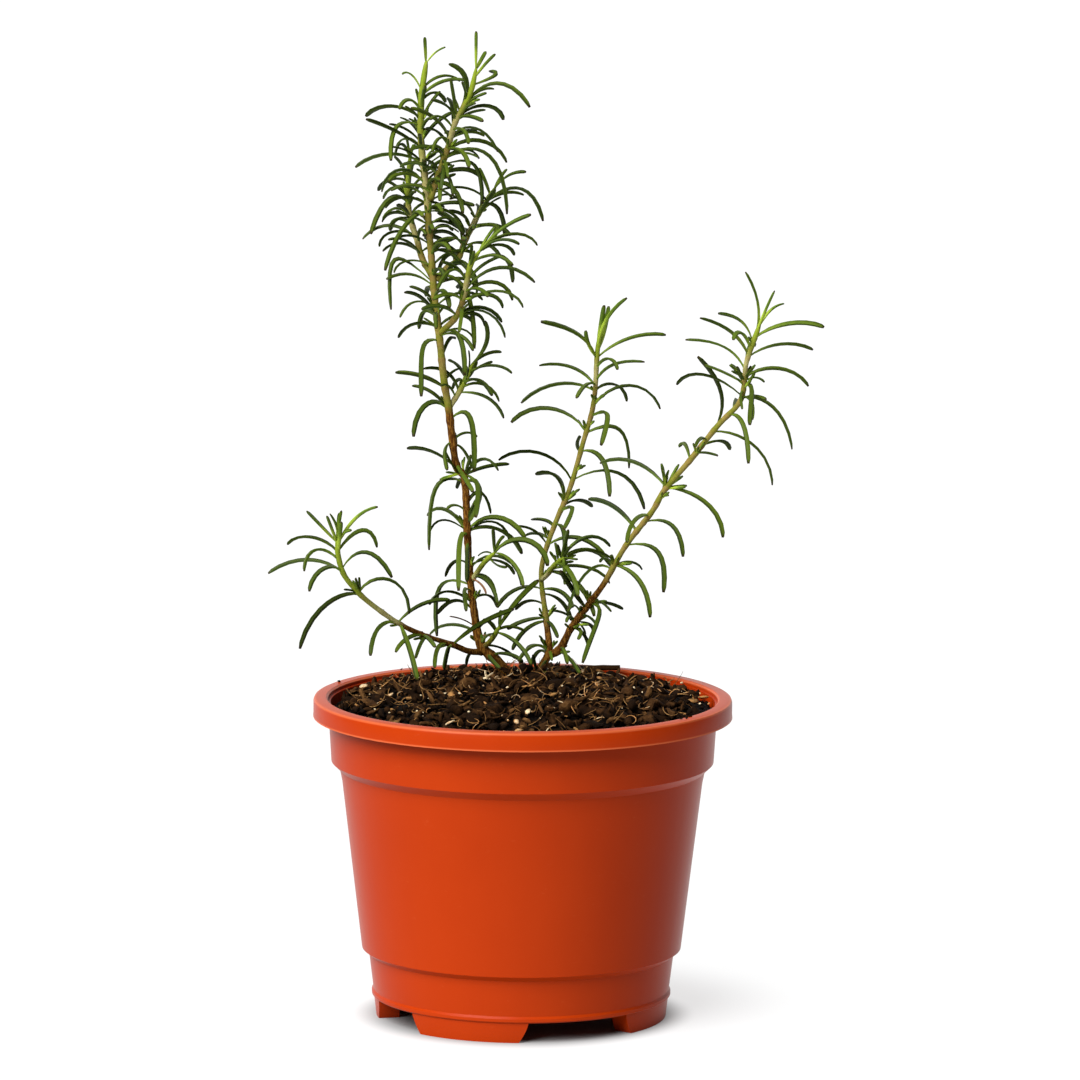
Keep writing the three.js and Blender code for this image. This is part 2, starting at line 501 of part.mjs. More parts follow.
// Leaves in opposite pairs, each pair a quarter turn on from the one below. Old leaves at the foot
// of the spray bend over and down, and young ones at its tip are shorter and stand up.
function sprayLeaves(line, { from, spacing, tip: tipLength }, random) {
  const leaves = [];
  const stretch = line.length - SPRAY_END - from;
  const pairs = Math.round(stretch / spacing);
  const between = (first, last, share) => first + (last - first) * share;
  const chance = (amount) => amount * (random() - 0.5);
  for (let pair = 0; pair <= pairs; pair++) {
    const young = pair / pairs;
    const place = from + stretch * young;
    const heading = line.heading(place);
    const across = RIGHT.clone().addScaledVector(heading, -heading.x).normalize();
    const away = heading.clone().cross(across);
    for (const half of [0, 1]) {
      const turn = Math.PI / 2 * pair + Math.PI * half + chance(play.turn) + FIRST_TURN;
      const length = between(OLD_LEAF, tipLength, young ** 2.5) + chance(play.length);
      const rise = THREE.MathUtils.degToRad(
        between(oldHabit.rise, youngHabit.rise, young ** 3) + chance(play.rise));
      const bend = THREE.MathUtils.degToRad(
        between(oldHabit.bend, youngHabit.bend, young ** 3) + chance(play.bend));
      const out = across.clone().multiplyScalar(Math.cos(turn)).addScaledVector(away, Math.sin(turn));
      const root = line.point(place);
      const leg = length * LEG_SHARE;
      const crown = root.clone().addScaledVector(out, leg * Math.cos(rise))
        .addScaledVector(heading, leg * Math.sin(rise));
      const tip = crown.clone().addScaledVector(out, leg * Math.cos(rise - bend))
        .addScaledVector(heading, leg * Math.sin(rise - bend));
      leaves.push({ root, crown, tip, side: out.cross(heading) });
    }
  }
  return leaves;
}

// How far a leaf stays from all that has grown before it: under 0 it is too close.
function roomAround(samples, plant, grown) {
  let room = Infinity;
  for (const { owner, samples: others, radius } of grown) {
    const needed = radius + (owner === plant ? OWN_ROOM : OTHER_ROOM);
    for (const a of samples) {
      for (const b of others) room = Math.min(room, a.distanceTo(b) - needed);
    }
  }
  for (const a of samples) room = Math.min(room, a.z - mixTop(a.x, a.y) - MIX_ROOM);
  return room;
}

function leafSamples(leaf) {
  const samples = [];
  for (let i = 3; i < LEAF_SAMPLES; i++) samples.push(leafPoint(leaf, i / (LEAF_SAMPLES - 1)));
  return samples;
}

// The leaf swung about its root, to one side and then the other, until it has room.
function bentClear(leaf, plant, grown) {
  const swings = [[0, 0], [0, 2], [14, 0], [-14, 0], [14, 3], [-14, 3], [28, 0], [-28, 0], [28, 4],
    [-28, 4], [42, 2], [-42, 2], [56, 3], [-56, 3]];
  let best = null;
  for (const [degrees, raised] of swings) {
    const turned = { root: leaf.root };
    for (const end of ['crown', 'tip']) {
      turned[end] = leaf[end].clone().sub(leaf.root)
        .applyAxisAngle(UP, THREE.MathUtils.degToRad(degrees)).add(leaf.root);
    }
    turned.tip.z += raised;
    turned.crown.z += raised * CROWN_RAISED;
    turned.side = leaf.side.clone().applyAxisAngle(UP, THREE.MathUtils.degToRad(degrees));
    const room = roomAround(leafSamples(turned), plant, grown);
    if (best === null || room > best.room) best = { leaf: turned, room };
    if (room >= 0) break;
  }
  return best;
}

// Both plants: every stem first, then the listed leaves, then the sprays.
function growPlants(plants) {
  const random = draws(SEED);
  const grown = [];
  const stems = plants.flatMap((stemsOfPlant, plant) => Object.values(stemsOfPlant)
    .map((stem) => ({ ...stem, plant, line: centreLine(stem), bars: [] })));
  for (const stem of stems) {
    for (let place = 0; place < stem.line.length; place += STEM_SAMPLE_STEP) {
      const radius = stem.line.radius(place);
      grown.push({ owner: stem.plant, samples: [stem.line.point(place)], radius });
    }
  }
  const add = (stem, leaf) => {
    const { leaf: bent, room } = bentClear(leaf, stem.plant, grown);
    if (room < -CROWDED) return;
    grown.push({ owner: stem.plant, samples: leafSamples(bent), radius: LEAF_REACH });
    stem.bars.push(leafBar(bent));
  };
  for (const stem of stems) {
    for (const listed of stem.leaves) add(stem, listedLeaf(stem.line, listed));
  }
  for (const stem of stems) {
    for (const spray of stem.sprays) {
      for (const leaf of sprayLeaves(stem.line, spray, random)) add(stem, leaf);
    }
  }
  return plants.map((_, plant) => {
    const bars = stems.filter((stem) => stem.plant === plant)
      .flatMap((stem) => [stemBar(stem.line), ...stem.bars]);
    return geometryOf(wasm.Manifold.union(bars.map(solidOf)));
  });
}

function piece(name, geometry, color, roughness) {
  const material = new THREE.MeshStandardMaterial({ name, color, roughness, metalness: 0 });
  const mesh = new THREE.Mesh(geometry, material);
  mesh.name = name;
  return mesh;
}

const [tallGeometry, forkedGeometry] = growPlants([tallPlant, forkedPlant]);
const sockets = [tallPlant.trunk, forkedPlant.middleStem].map(({ route, radii }) => (
  { x: route[0][0], y: route[0][1], radius: radii[0] }));

const rosemary = new THREE.Group();
rosemary.name = 'potted_rosemary_plant';
rosemary.add(
  piece('pot', pot(), 0xb8401a, 0.38),
  piece('potting_mix', pottingMix(sockets), 0x3a2417, 0.95),
  piece('tall_rosemary_plant', tallGeometry, 0x3f6b2a, 0.55),
  piece('forked_rosemary_plant', forkedGeometry, 0x3f6b2a, 0.55),
);
rosemary.position.set(POT_AXIS_X, 0, 0);

export default rosemary;
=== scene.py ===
# A young rosemary plant in a moulded plastic nursery pot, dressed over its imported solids. Lengths
# are in millimetres from the pot's axis and the ground. Each piece is turned into metres as it is
# finished. +X is to the right and +Y is away, as the plant is seen from its front.
import bisect
import math
import random

import bmesh
import bpy
from mathutils import Matrix, Vector, noise


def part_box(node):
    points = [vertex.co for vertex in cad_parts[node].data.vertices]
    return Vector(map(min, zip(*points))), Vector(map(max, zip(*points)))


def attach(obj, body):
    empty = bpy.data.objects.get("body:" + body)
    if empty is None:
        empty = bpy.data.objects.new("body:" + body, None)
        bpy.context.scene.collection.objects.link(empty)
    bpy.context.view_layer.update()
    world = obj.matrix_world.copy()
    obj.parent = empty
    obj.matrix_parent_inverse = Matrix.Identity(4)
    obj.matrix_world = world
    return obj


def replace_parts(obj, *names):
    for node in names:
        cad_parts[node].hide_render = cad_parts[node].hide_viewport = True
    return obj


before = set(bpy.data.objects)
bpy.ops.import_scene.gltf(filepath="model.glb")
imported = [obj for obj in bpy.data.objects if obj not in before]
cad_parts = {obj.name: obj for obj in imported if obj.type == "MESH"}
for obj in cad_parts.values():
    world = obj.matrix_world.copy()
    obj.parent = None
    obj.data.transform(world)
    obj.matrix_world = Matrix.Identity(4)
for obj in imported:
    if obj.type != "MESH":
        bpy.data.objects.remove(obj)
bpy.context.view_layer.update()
scene = bpy.context.scene

# The view. The photograph looks down on the pot a little, from its front and through a long lens,
# from two and a half metres away.
MM = 0.001
pot_low, pot_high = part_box("pot")
POT_AXIS_X = (pot_low.x + pot_high.x) / 2
IN_METRES = Matrix.Translation((POT_AXIS_X, 0, 0)) @ Matrix.Scale(MM, 4)
UP = Vector((0, 0, 1))
RIGHT = Vector((1, 0, 0))

VIEW_FROM = Vector((0, -2500, 531.1))
VIEW_PITCH = 0.15155
VIEW_YAW = 0.002
VIEW_ROLL = 0.00638
VIEW_LENS = 272.4
VIEW_SENSOR = 36
VIEW_END = 100

view_ahead = Vector((
    math.sin(VIEW_YAW) * math.cos(VIEW_PITCH),
    math.cos(VIEW_YAW) * math.cos(VIEW_PITCH),
    -math.sin(VIEW_PITCH),
))
view_right = Vector((math.cos(VIEW_YAW), -math.sin(VIEW_YAW), 0))
view_right.rotate(Matrix.Rotation(-VIEW_ROLL, 3, view_ahead))
view_up = view_right.cross(view_ahead)

lens = bpy.data.cameras.new("view")
lens.lens = VIEW_LENS
lens.sensor_width = VIEW_SENSOR
lens.clip_end = VIEW_END
view = bpy.data.objects.new("view", lens)
view.matrix_world = (
    Matrix.Translation(IN_METRES @ VIEW_FROM)
    @ Matrix((view_right, view_up, -view_ahead)).transposed().to_4x4()
)
scene.collection.objects.link(view)
scene.camera = view

# The studio: a broad soft light from the upper left, a dim room with a white sweep behind, and a floor
# like a light table's, which glows a little all round the object. Its glow is painted out under and just
# round the pot as a contact shade, and rises away from the pot as painted light that fades the cast
# shadow out. None of it belongs to the object.
KEY_STRENGTH = 7.0
KEY_SIZE = 45
KEY_TURN = 40
KEY_HEIGHT = 41
ROOM_GLOW = 0.08
SWEEP_GLOW = 0.95
SWEEP_ENDS = (0.30, 0.75)
FLOOR_REACH = 30
FLOOR_TONES = (0.20, 0.20, 0.20), (0.02, 0.02, 0.02)
FLOOR_GLOWS = (0.70, 0.70, 0.70), (0.97, 0.97, 0.97)
# Where the floor's glow is painted out round the pot as contact shade, and where it rises to wash the
# cast shadow away.
SHADOW_FADE_ENDS = (0.055, 0.100)
PAINTED_CONTACT_SHADE_ENDS = (0.040, 0.055)

key_light = bpy.data.lights.new("key_light", "SUN")
key_light.energy = KEY_STRENGTH
key_light.angle = math.radians(KEY_SIZE)
key = bpy.data.objects.new("key_light", key_light)
key.rotation_euler = (math.radians(90 - KEY_HEIGHT), 0, math.radians(-KEY_TURN))
scene.collection.objects.link(key)


class Value:
    """What one socket of a finish gives. Sums written with it become Math nodes."""

    def __init__(self, finish, socket):
        self.finish = finish
        self.socket = socket

    def also(self, output):
        """Another output of the node that gives this value."""
        return Value(self.finish, self.socket.node.outputs[output])

    def worked(self, operation, *terms):
        sockets = dict(enumerate(terms))
        return self.finish.add("ShaderNodeMath", {"operation": operation}, sockets)

    def __add__(self, other):
        return self.worked("ADD", self, other)

    def __radd__(self, other):
        return self.worked("ADD", other, self)

    def __sub__(self, other):
        return self.worked("SUBTRACT", self, other)

    def __rsub__(self, other):
        return self.worked("SUBTRACT", other, self)

    def __mul__(self, other):
        return self.worked("MULTIPLY", self, other)

    def __rmul__(self, other):
        return self.worked("MULTIPLY", other, self)

    def __pow__(self, other):
        return self.worked("POWER", self, other)

    def __abs__(self):
        return self.worked("ABSOLUTE", self)


class Finish:
    """A material or a room with one shader, and the nodes that feed it."""

    def __init__(self, surface, constants, shader="Principled BSDF"):
        surface.use_nodes = True
        self.surface = surface
        self.tree = surface.node_tree
        self.shader = self.tree.nodes[shader]
        for socket, value in constants.items():
            self.shader.inputs[socket].default_value = value

    def feed(self, socket, value):
        if isinstance(value, Value):
            self.tree.links.new(value.socket, socket)
        else:
            socket.default_value = value

    def add(self, kind, settings, sockets, output=0):
        """Adds a node. A ramp's settings are its stops: (place, colour) pairs."""
        node = self.tree.nodes.new(kind)
        for setting, value in settings.items():
            if setting == "stops":
                stops = node.color_ramp.elements
                stops[0].position, stops[-1].position = value[0][0], value[-1][0]
                for place, _ in value[1:-1]:
                    stops.new(place)
                for stop, (_, colour) in zip(stops, value):
                    stop.color = (*colour, 1)
            else:
                setattr(node, setting, value)
        for socket, value in sockets.items():
            self.feed(node.inputs[socket], value)
        return Value(self, node.outputs[output])

    def places(self):
        """Each point's place on the object, in metres."""
        return self.add("ShaderNodeTexCoord", {}, {}, "Object")

    def stretched(self, scale):
        return self.add("ShaderNodeMapping", {}, {"Vector": self.places(), "Scale": scale})

    def grain(self, places, scale, detail=3, roughness=0.5):
        """A cloudy pattern from 0 to 1, with that many clouds to the metre."""
        return self.add(
            "ShaderNodeTexNoise", {},
            {"Vector": places, "Scale": scale, "Detail": detail, "Roughness": roughness},
        )

    def stepped(self, value, low, high):
        """0 where the value is below low, 1 where it is above high, and smooth between them."""
        return self.add(
            "ShaderNodeMapRange", {"interpolation_type": "SMOOTHSTEP"},
            {"Value": value, "From Min": low, "From Max": high},
        )

    def blended(self, amount, first, second):
        """A colour between two others."""
        colours = [colour if isinstance(colour, Value) else (*colour, 1) for colour in (first, second)]
        return self.add(
            "ShaderNodeMix", {"data_type": "RGBA"}, {0: amount, 6: colours[0], 7: colours[1]}, 2,
        )

    def held(self, name):
        """The four numbers that a mesh holds for each point under that name."""
        colour = self.add("ShaderNodeAttribute", {"attribute_name": name}, {}, "Color")
        red = self.add("ShaderNodeSeparateColor", {}, {"Color": colour}, "Red")
        return red, red.also("Green"), red.also("Blue"), colour.also("Alpha")

    def bumped(self, height, strength, distance):
        sockets = {"Height": height, "Strength": strength, "Distance": distance}
        normal = self.add("ShaderNodeBump", {}, sockets)
        self.feed(self.shader.inputs["Normal"], normal)

    def coloured(self, colour):
        self.feed(self.shader.inputs["Base Color"], colour)

    def roughened(self, roughness):
        self.feed(self.shader.inputs["Roughness"], roughness)


room = Finish(bpy.data.worlds.new("room"), {"Color": (1, 1, 1, 1)}, "Background")
facing = room.add("ShaderNodeTexCoord", {}, {}, "Generated")
behind = room.add("ShaderNodeSeparateXYZ", {}, {"Vector": facing}, "Y")
sweep = room.stepped(behind, *SWEEP_ENDS)
room.feed(room.shader.inputs["Strength"], ROOM_GLOW + (SWEEP_GLOW - ROOM_GLOW) * sweep)
scene.world = room.surface
scene.view_settings.view_transform = "Standard"

floor_finish = Finish(
    bpy.data.materials.new("white_floor"), {"Roughness": 0.9, "Emission Strength": 1},
)
off_axis = floor_finish.add(
    "ShaderNodeVectorMath", {"operation": "DISTANCE"},
    {0: floor_finish.places(), 1: (POT_AXIS_X, 0, 0)}, "Value",
)
# The glow is cut out under the pot as painted shade, and further out it grows as painted light that fades
# the cast shadow.
glow_outside_painted_shade = floor_finish.stepped(off_axis, *PAINTED_CONTACT_SHADE_ENDS)
shadow_fade_mask = floor_finish.stepped(off_axis, *SHADOW_FADE_ENDS)
glow_colour = floor_finish.blended(glow_outside_painted_shade, (0, 0, 0), floor_finish.blended(shadow_fade_mask, *FLOOR_GLOWS))
floor_finish.coloured(floor_finish.blended(shadow_fade_mask, *FLOOR_TONES))
floor_finish.feed(floor_finish.shader.inputs["Emission Color"], glow_colour)
floor_mesh = bpy.data.meshes.new("floor")
floor_bm = bmesh.new()
bmesh.ops.create_grid(floor_bm, x_segments=1, y_segments=1, size=FLOOR_REACH)
floor_bm.to_mesh(floor_mesh)
floor_bm.free()
floor_mesh.materials.append(floor_finish.surface)
floor = bpy.data.objects.new("floor", floor_mesh)
scene.collection.objects.link(floor)

# The pot. One thin injection moulding in orange-red plastic: a rim that turns down, a band under
# it, a plain tapering wall, a narrower foot band with a bead, and four feet that hold the drained
# floor off the ground. The mould left its skin smooth, with a satin gloss.
POT_STEPS = 168
POT_OUTSIDE = [
    (0, 6.4), (46.2, 6.4), (46.6, 6.8), (46.6, 7.7), (46.1, 8.4), (47.5, 19.7), (49.7, 21.4),
    (56.0, 73.8), (56.8, 77.7), (59.4, 80.2), (60.2, 93), (60.3, 98.2), (63.9, 98.2), (64.0, 94.2),
    (65.1, 94.2), (65.0, 95.2), (65.0, 99.0), (64.7, 99.7), (64.0, 100), (61.1, 100), (60.5, 99.5),
]
POT_INSIDE = [
    (60.4, 98.4), (59.7, 98.4), (59.0, 93), (58.2, 80.2), (55.6, 77.7), (54.8, 73.8), (48.5, 21.4),
    (46.3, 19.7), (44.9, 8.6), (44.3, 8.0), (0, 8.0),
]
POT_EDGE_ROUNDING = 0.35
SHARP_BEND = math.radians(24)
DRAIN_RADIUS = 2
DRAIN_SIDES = 28
DRAIN_MIDDLE, DRAIN_DEPTH = 7, 6
DRAIN_CIRCLE = 30
DRAIN_TURNS = (25, 115, 205, 295)
FOOT_TURNS = ((-47, 3), (45, 95), (137, 187), (-124, -74))
FOOT_RADIUS = 45.2
FOOT_DEPTH = 6.5
FOOT_HEIGHT = 6.9
FOOT_DRAWN_IN = 3
FOOT_FLARE = 0.8
# Heights of the rim's top and bottom edges, where thin highlights are painted into the plastic's colour.
RIM_HIGHLIGHT_HEIGHTS = (0.0943, 0.0996)


def turned(bm, outline, steps):
    """Spins an outline of (radius, height) points about the pot's axis."""
    verts = [bm.verts.new((radius, 0, height)) for radius, height in outline]
    edges = [bm.edges.new(pair) for pair in zip(verts, verts[1:])]
    bmesh.ops.spin(
        bm, geom=verts + edges, cent=(0, 0, 0), axis=(0, 0, 1), dvec=(0, 0, 0),
        angle=2 * math.pi, steps=steps, use_merge=True,
    )
    bmesh.ops.remove_doubles(bm, verts=bm.verts, dist=0.001)


def round_place(radius, degrees, height):
    """A point by its turn from the pot's front towards its right."""
    turn = math.radians(degrees)
    return Vector((radius * math.sin(turn), -radius * math.cos(turn), height))


def new_mesh(name, bm):
    """A mesh in metres from one in millimetres."""
    bmesh.ops.recalc_face_normals(bm, faces=bm.faces)
    bmesh.ops.transform(bm, matrix=IN_METRES, verts=bm.verts)
    mesh = bpy.data.meshes.new(name)
    bm.to_mesh(mesh)
    bm.free()
    return mesh


def new_piece(name, mesh, finish):
    """A piece of the object, riding on its one body."""
    mesh.shade_smooth()
    mesh.materials.append(finish.surface)
    piece = bpy.data.objects.new(name, mesh)
    scene.collection.objects.link(piece)
    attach(piece, "root")
    return piece


def cut_along(bm, axis, cuts):
    """Cuts every edge that runs along an axis, with the faces between them."""
    edges = [
        edge for edge in bm.edges
        if abs(edge.verts[0].co[axis] - edge.verts[1].co[axis]) > 0.5 * edge.calc_length()
    ]
    bmesh.ops.subdivide_edges(bm, edges=edges, cuts=cuts, use_grid_fill=True)


def unit_bar(sides, rings):
    """A bar along +Z, of radius 1 and from 0 to 1, with that many rings between its ends."""
    bm = bmesh.new()
    bmesh.ops.create_cone(
        bm, cap_ends=True, segments=sides, radius1=1, radius2=1, depth=1,
        matrix=Matrix.Translation((0, 0, 0.5)),
    )
    cut_along(bm, 2, rings)
    return bm


def add_part(bm, part):
    """Adds a finished part to the piece that it belongs to."""
    mesh = bpy.data.meshes.new("part")
    part.to_mesh(mesh)
    part.free()
    bm.from_mesh(mesh)
    bpy.data.meshes.remove(mesh)


def foot_block(first, last):
    """A block bent round the pot's axis, drawn in at its ends towards the ground."""
    bm = bmesh.new()
    bmesh.ops.create_cube(bm, size=1)
    cut_along(bm, 0, 13)
    cut_along(bm, 2, 4)
    half_turn = (last - first) / 2
    for vert in bm.verts:
        height = (vert.co.z + 0.5) * FOOT_HEIGHT
        drawn_in = FOOT_DRAWN_IN * max(0, 1 - height / FOOT_HEIGHT) ** 1.6
        reach = half_turn - math.degrees(drawn_in / FOOT_RADIUS)
        radius = FOOT_RADIUS + FOOT_FLARE * height / FOOT_HEIGHT - FOOT_DEPTH * (vert.co.y + 0.5)
        vert.co = round_place(radius, (first + last) / 2 + 2 * vert.co.x * reach, height)
    return bm


pot_shell = bmesh.new()
turned(pot_shell, POT_OUTSIDE + POT_INSIDE, POT_STEPS)
shell = bpy.data.objects.new("shell", new_mesh("shell", pot_shell))
drains = bmesh.new()
for turn in DRAIN_TURNS:
    bmesh.ops.create_cone(
        drains, cap_ends=True, segments=DRAIN_SIDES, radius1=DRAIN_RADIUS, radius2=DRAIN_RADIUS,
        depth=DRAIN_DEPTH, matrix=Matrix.Translation(round_place(DRAIN_CIRCLE, turn, DRAIN_MIDDLE)),
    )
drill = bpy.data.objects.new("drill", new_mesh("drill", drains))
for tool in (shell, drill):
    scene.collection.objects.link(tool)
drilling = shell.modifiers.new("drain_holes", "BOOLEAN")
drilling.operation = "DIFFERENCE"
drilling.object = drill
drilled = shell.evaluated_get(bpy.context.evaluated_depsgraph_get()).to_mesh()
pot_bm = bmesh.new()
pot_bm.from_mesh(drilled)
bmesh.ops.transform(pot_bm, matrix=IN_METRES.inverted(), verts=pot_bm.verts)
for tool in (shell, drill):
    bpy.data.objects.remove(tool)
for first, last in FOOT_TURNS:
    add_part(pot_bm, foot_block(first, last))

plastic = Finish(
    bpy.data.materials.new("pot_plastic"), {"IOR": 1.48, "Specular IOR Level": 0.06},
)
plastic_places = plastic.places()
cloud = plastic.grain(plastic_places, 34, 4, 0.55)
flow = plastic.grain(plastic.stretched((120, 120, 9)), 1, 3)
speckle = plastic.grain(plastic_places, 2600, 2)
scuffs = plastic.stepped(plastic.grain(plastic.stretched((260, 260, 700)), 1, 5, 0.7), 0.62, 0.74)
lit_red = plastic.blended(cloud, (0.300, 0.0235, 0.0010), (0.335, 0.029, 0.0016))
flowed_red = plastic.blended(flow * 0.35, lit_red, (0.270, 0.0190, 0.0010))
height = plastic.add("ShaderNodeSeparateXYZ", {}, {"Vector": plastic_places}, "Z")
# Thin lighter lines round the rim's top and bottom edges: painted highlights.
painted_rim_highlights = sum(1 - plastic.stepped(abs(height - line), 0.0001, 0.0006) for line in RIM_HIGHLIGHT_HEIGHTS)
rim_highlighted_red = plastic.blended(0.4 * painted_rim_highlights, flowed_red, (0.62, 0.16, 0.06))
plastic.coloured(plastic.blended(scuffs * 0.10, rim_highlighted_red, (0.47, 0.12, 0.05)))
plastic.roughened(0.24 + 0.08 * cloud + 0.05 * speckle + 0.10 * scuffs)
plastic.bumped(flow * 0.6 + speckle * 0.05 + cloud, 0.12, 0.0006)

pot = new_piece("nursery_pot", new_mesh("nursery_pot", pot_bm), plastic)
edges = pot.modifiers.new("eased_edges", "BEVEL")
edges.width = POT_EDGE_ROUNDING * MM
edges.segments = 2
edges.limit_method = "ANGLE"
edges.angle_limit = SHARP_BEND
edges.harden_normals = True
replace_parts(pot, "pot")

# The potting mix. Shredded bark and peat in dark browns, shot through with coir and root fibres, pale
# splinters and a few tan chips. Its lumps are painted paler towards their tops as painted light, and
# darker low down, with the bed between them nearly black, as painted shade in the gaps. It fills the pot
# to just under the rim and is heaped a little round the stems.
MIX_EDGE = 96
MIX_EDGE_RADIUS = 58.7
MIX_UNDERSIDE = 8.3
MIX_FOOT_RADIUS = 43.8
FIT_GAP = 0.3
WALL_TOP = 99
RIM_TOP = 100.1
DOME_RISE = 6.2
DOME_RADIUS = 59
HEAP_RISE = 1.2
HEAP_SPREAD = 13
HEAP_X, HEAP_Y = -1, 18
BED_RINGS = 42
BED_STEPS = 132
LUMP_COUNT, CRUMB_COUNT, FLECK_COUNT = 560, 1700, 80
SHRED_COUNT, CHIP_COUNT, FIBRE_COUNT = 420, 30, 330
LUMP_PLANES = 6
LUMP_LIFT = 2.6
LUMP_SPREAD, CURL_SPREAD, STICK_SPREAD = 0.16, 0.10, 0.08
MIX_COLOURS = [
    (0.00, (0.0006, 0.0003, 0.0001)), (0.20, (0.0022, 0.0010, 0.0004)),
    (0.40, (0.010, 0.0042, 0.0013)), (0.56, (0.042, 0.018, 0.0055)), (0.68, (0.115, 0.055, 0.018)),
    (0.80, (0.26, 0.14, 0.048)), (0.90, (0.40, 0.18, 0.055)), (1.00, (0.72, 0.58, 0.36)),
]


def mix_top(x, y):
    """The height of the bed that the lumps lie in."""
    inward = max(0, 1 - (x * x + y * y) / DOME_RADIUS ** 2)
    off = (x - HEAP_X) ** 2 + (y - HEAP_Y) ** 2
    heaped = HEAP_RISE * math.exp(-off / (2 * HEAP_SPREAD ** 2))
    lumps = 0.5 * math.sin(0.61 * x + 1.3) * math.sin(0.55 * y + 0.4)
    return MIX_EDGE + DOME_RISE * inward ** 0.8 + heaped + lumps + 0.4 * math.sin(0.37 * x - 0.83 * y)


def clamped(share):
    return min(1, max(0, share))


def add_copy(bm, blank, placed):
    """Adds a copy of a blank, with each of its points put where placed says."""
    before = len(bm.verts)
    bm.from_mesh(blank)
    bm.verts.ensure_lookup_table()
    copied = bm.verts[before:]
    for vert in copied:
        vert.co = placed(vert.co)
    return copied


def kept_blank(name, bm):
    blank = bpy.data.meshes.new(name)
    bm.to_mesh(blank)
    bm.free()
    return blank


mix_chance = random.Random(5)


def any_way(tilt):
    """A turn at random, leaning from the upright by up to a tilt in degrees."""
    lean = Matrix.Rotation(math.radians(tilt) * mix_chance.uniform(-1, 1), 3, "X")
    roll = Matrix.Rotation(math.radians(tilt) * mix_chance.uniform(-1, 1), 3, "Y")
    return Matrix.Rotation(mix_chance.uniform(0, 2 * math.pi), 3, "Z") @ lean @ roll


def on_mix(reach):
    """A place at random on the bed, at least that far inside its edge."""
    radius = (MIX_EDGE_RADIUS - reach) * math.sqrt(mix_chance.random())
    turn = mix_chance.uniform(0, 2 * math.pi)
    x, y = radius * math.cos(turn), radius * math.sin(turn)
    return Vector((x, y, mix_top(x, y)))


def over_mix(reach, lowest, highest):
    return on_mix(reach) + UP * mix_chance.uniform(lowest, highest)


def grained(grain, verts, tone, spread):
    """Tells the finish how pale a lump is, and how far above the bed each of its points stands."""
    for vert in verts:
        above = (vert.co.z - mix_top(vert.co.x, vert.co.y)) / LUMP_LIFT
        rough = 0.5 + noise.noise(vert.co * 0.9)
        vert[grain] = (tone + spread * (rough - 0.5), clamped(above), rough, 1)


bed_bm, lumps_bm, shreds_bm = bmesh.new(), bmesh.new(), bmesh.new()
bed_grain, lump_grain, shred_grain = [
    bm.verts.layers.float_color.new("grain") for bm in (bed_bm, lumps_bm, shreds_bm)
]
bed_side = [(radius - FIT_GAP, height) for radius, height in reversed(POT_INSIDE[2:-2])]
bed_rings = [(MIX_EDGE_RADIUS * (1 - ring / BED_RINGS), MIX_EDGE) for ring in range(BED_RINGS + 1)]
bed_foot = [(0, MIX_UNDERSIDE), (MIX_FOOT_RADIUS, MIX_UNDERSIDE)]
turned(bed_bm, [*bed_foot, *bed_side, *bed_rings], BED_STEPS)
# The bed is given a nearly black tone: painted shade where it shows in the gaps between the lumps.
for vert in bed_bm.verts:
    vert[bed_grain] = (0.10, 0, 0.5, 1)
    if vert.co.z > MIX_EDGE - 0.01:
        ruffled = noise.noise(vert.co * 0.45) + 0.6 * noise.noise(vert.co * 1.1)
        vert.co.z = mix_top(vert.co.x, vert.co.y) - 0.4 + 0.7 * ruffled
        vert[bed_grain] = (0.17 + 0.12 * ruffled, 0.2 + 0.3 * ruffled, 0.5, 1)

lump_bm = bmesh.new()
bmesh.ops.create_icosphere(lump_bm, subdivisions=2, radius=1)
lump_blank = kept_blank("lump", lump_bm)
crumb_bm = bmesh.new()
bmesh.ops.create_icosphere(crumb_bm, subdivisions=1, radius=1)
crumb_blank = kept_blank("crumb", crumb_bm)
strip_bm = bmesh.new()
bmesh.ops.create_cube(strip_bm, size=2)
cut_along(strip_bm, 0, 6)
strip_blank = kept_blank("strip", strip_bm)
thread_bm = bmesh.new()
bmesh.ops.create_cone(thread_bm, cap_ends=True, segments=4, radius1=1, radius2=1, depth=2)
cut_along(thread_bm, 2, 8)
bmesh.ops.rotate(
    thread_bm, verts=thread_bm.verts, cent=(0, 0, 0), matrix=Matrix.Rotation(math.pi / 2, 3, "Y"),
)
thread_blank = kept_blank("thread", thread_bm)


def held_in(point):
    """A point drawn back where it would run into the pot's wall."""
    out = math.hypot(point.x, point.y)
    if out > MIX_EDGE_RADIUS and point.z < WALL_TOP:
        point.x *= MIX_EDGE_RADIUS / out
        point.y *= MIX_EDGE_RADIUS / out
    return point


def add_lump(blank, size, sunk, tone, at=None):
    """A broken lump: a ball pressed, cut across by a few planes, and roughened."""
    lengths = Vector((size, size * mix_chance.uniform(0.5, 0.95), size * mix_chance.uniform(0.45, 0.8)))
    turn = any_way(38)
    middle = at if at else on_mix(size)
    seed = Vector((mix_chance.uniform(0, 99), mix_chance.uniform(0, 99), 0))
    planes = []
    for _ in range(LUMP_PLANES):
        across = Vector([mix_chance.uniform(-1, 1) for _ in range(3)])
        planes.append((across.normalized(), mix_chance.uniform(0.25, 0.75)))

    def placed(place):
        rough = noise.noise(place * 1.5 + seed) + 0.5 * noise.noise(place * 3.4 + seed)
        point = place * (1.1 + 0.55 * rough)
        for across, reach in planes:
            point -= across * max(0, point.dot(across) - reach)
        point = turn @ (point * lengths)
        point += UP * ((1 - sunk) * lengths.z) + middle
        return held_in(point)

    grained(lump_grain, add_copy(lumps_bm, blank, placed), tone, LUMP_SPREAD)


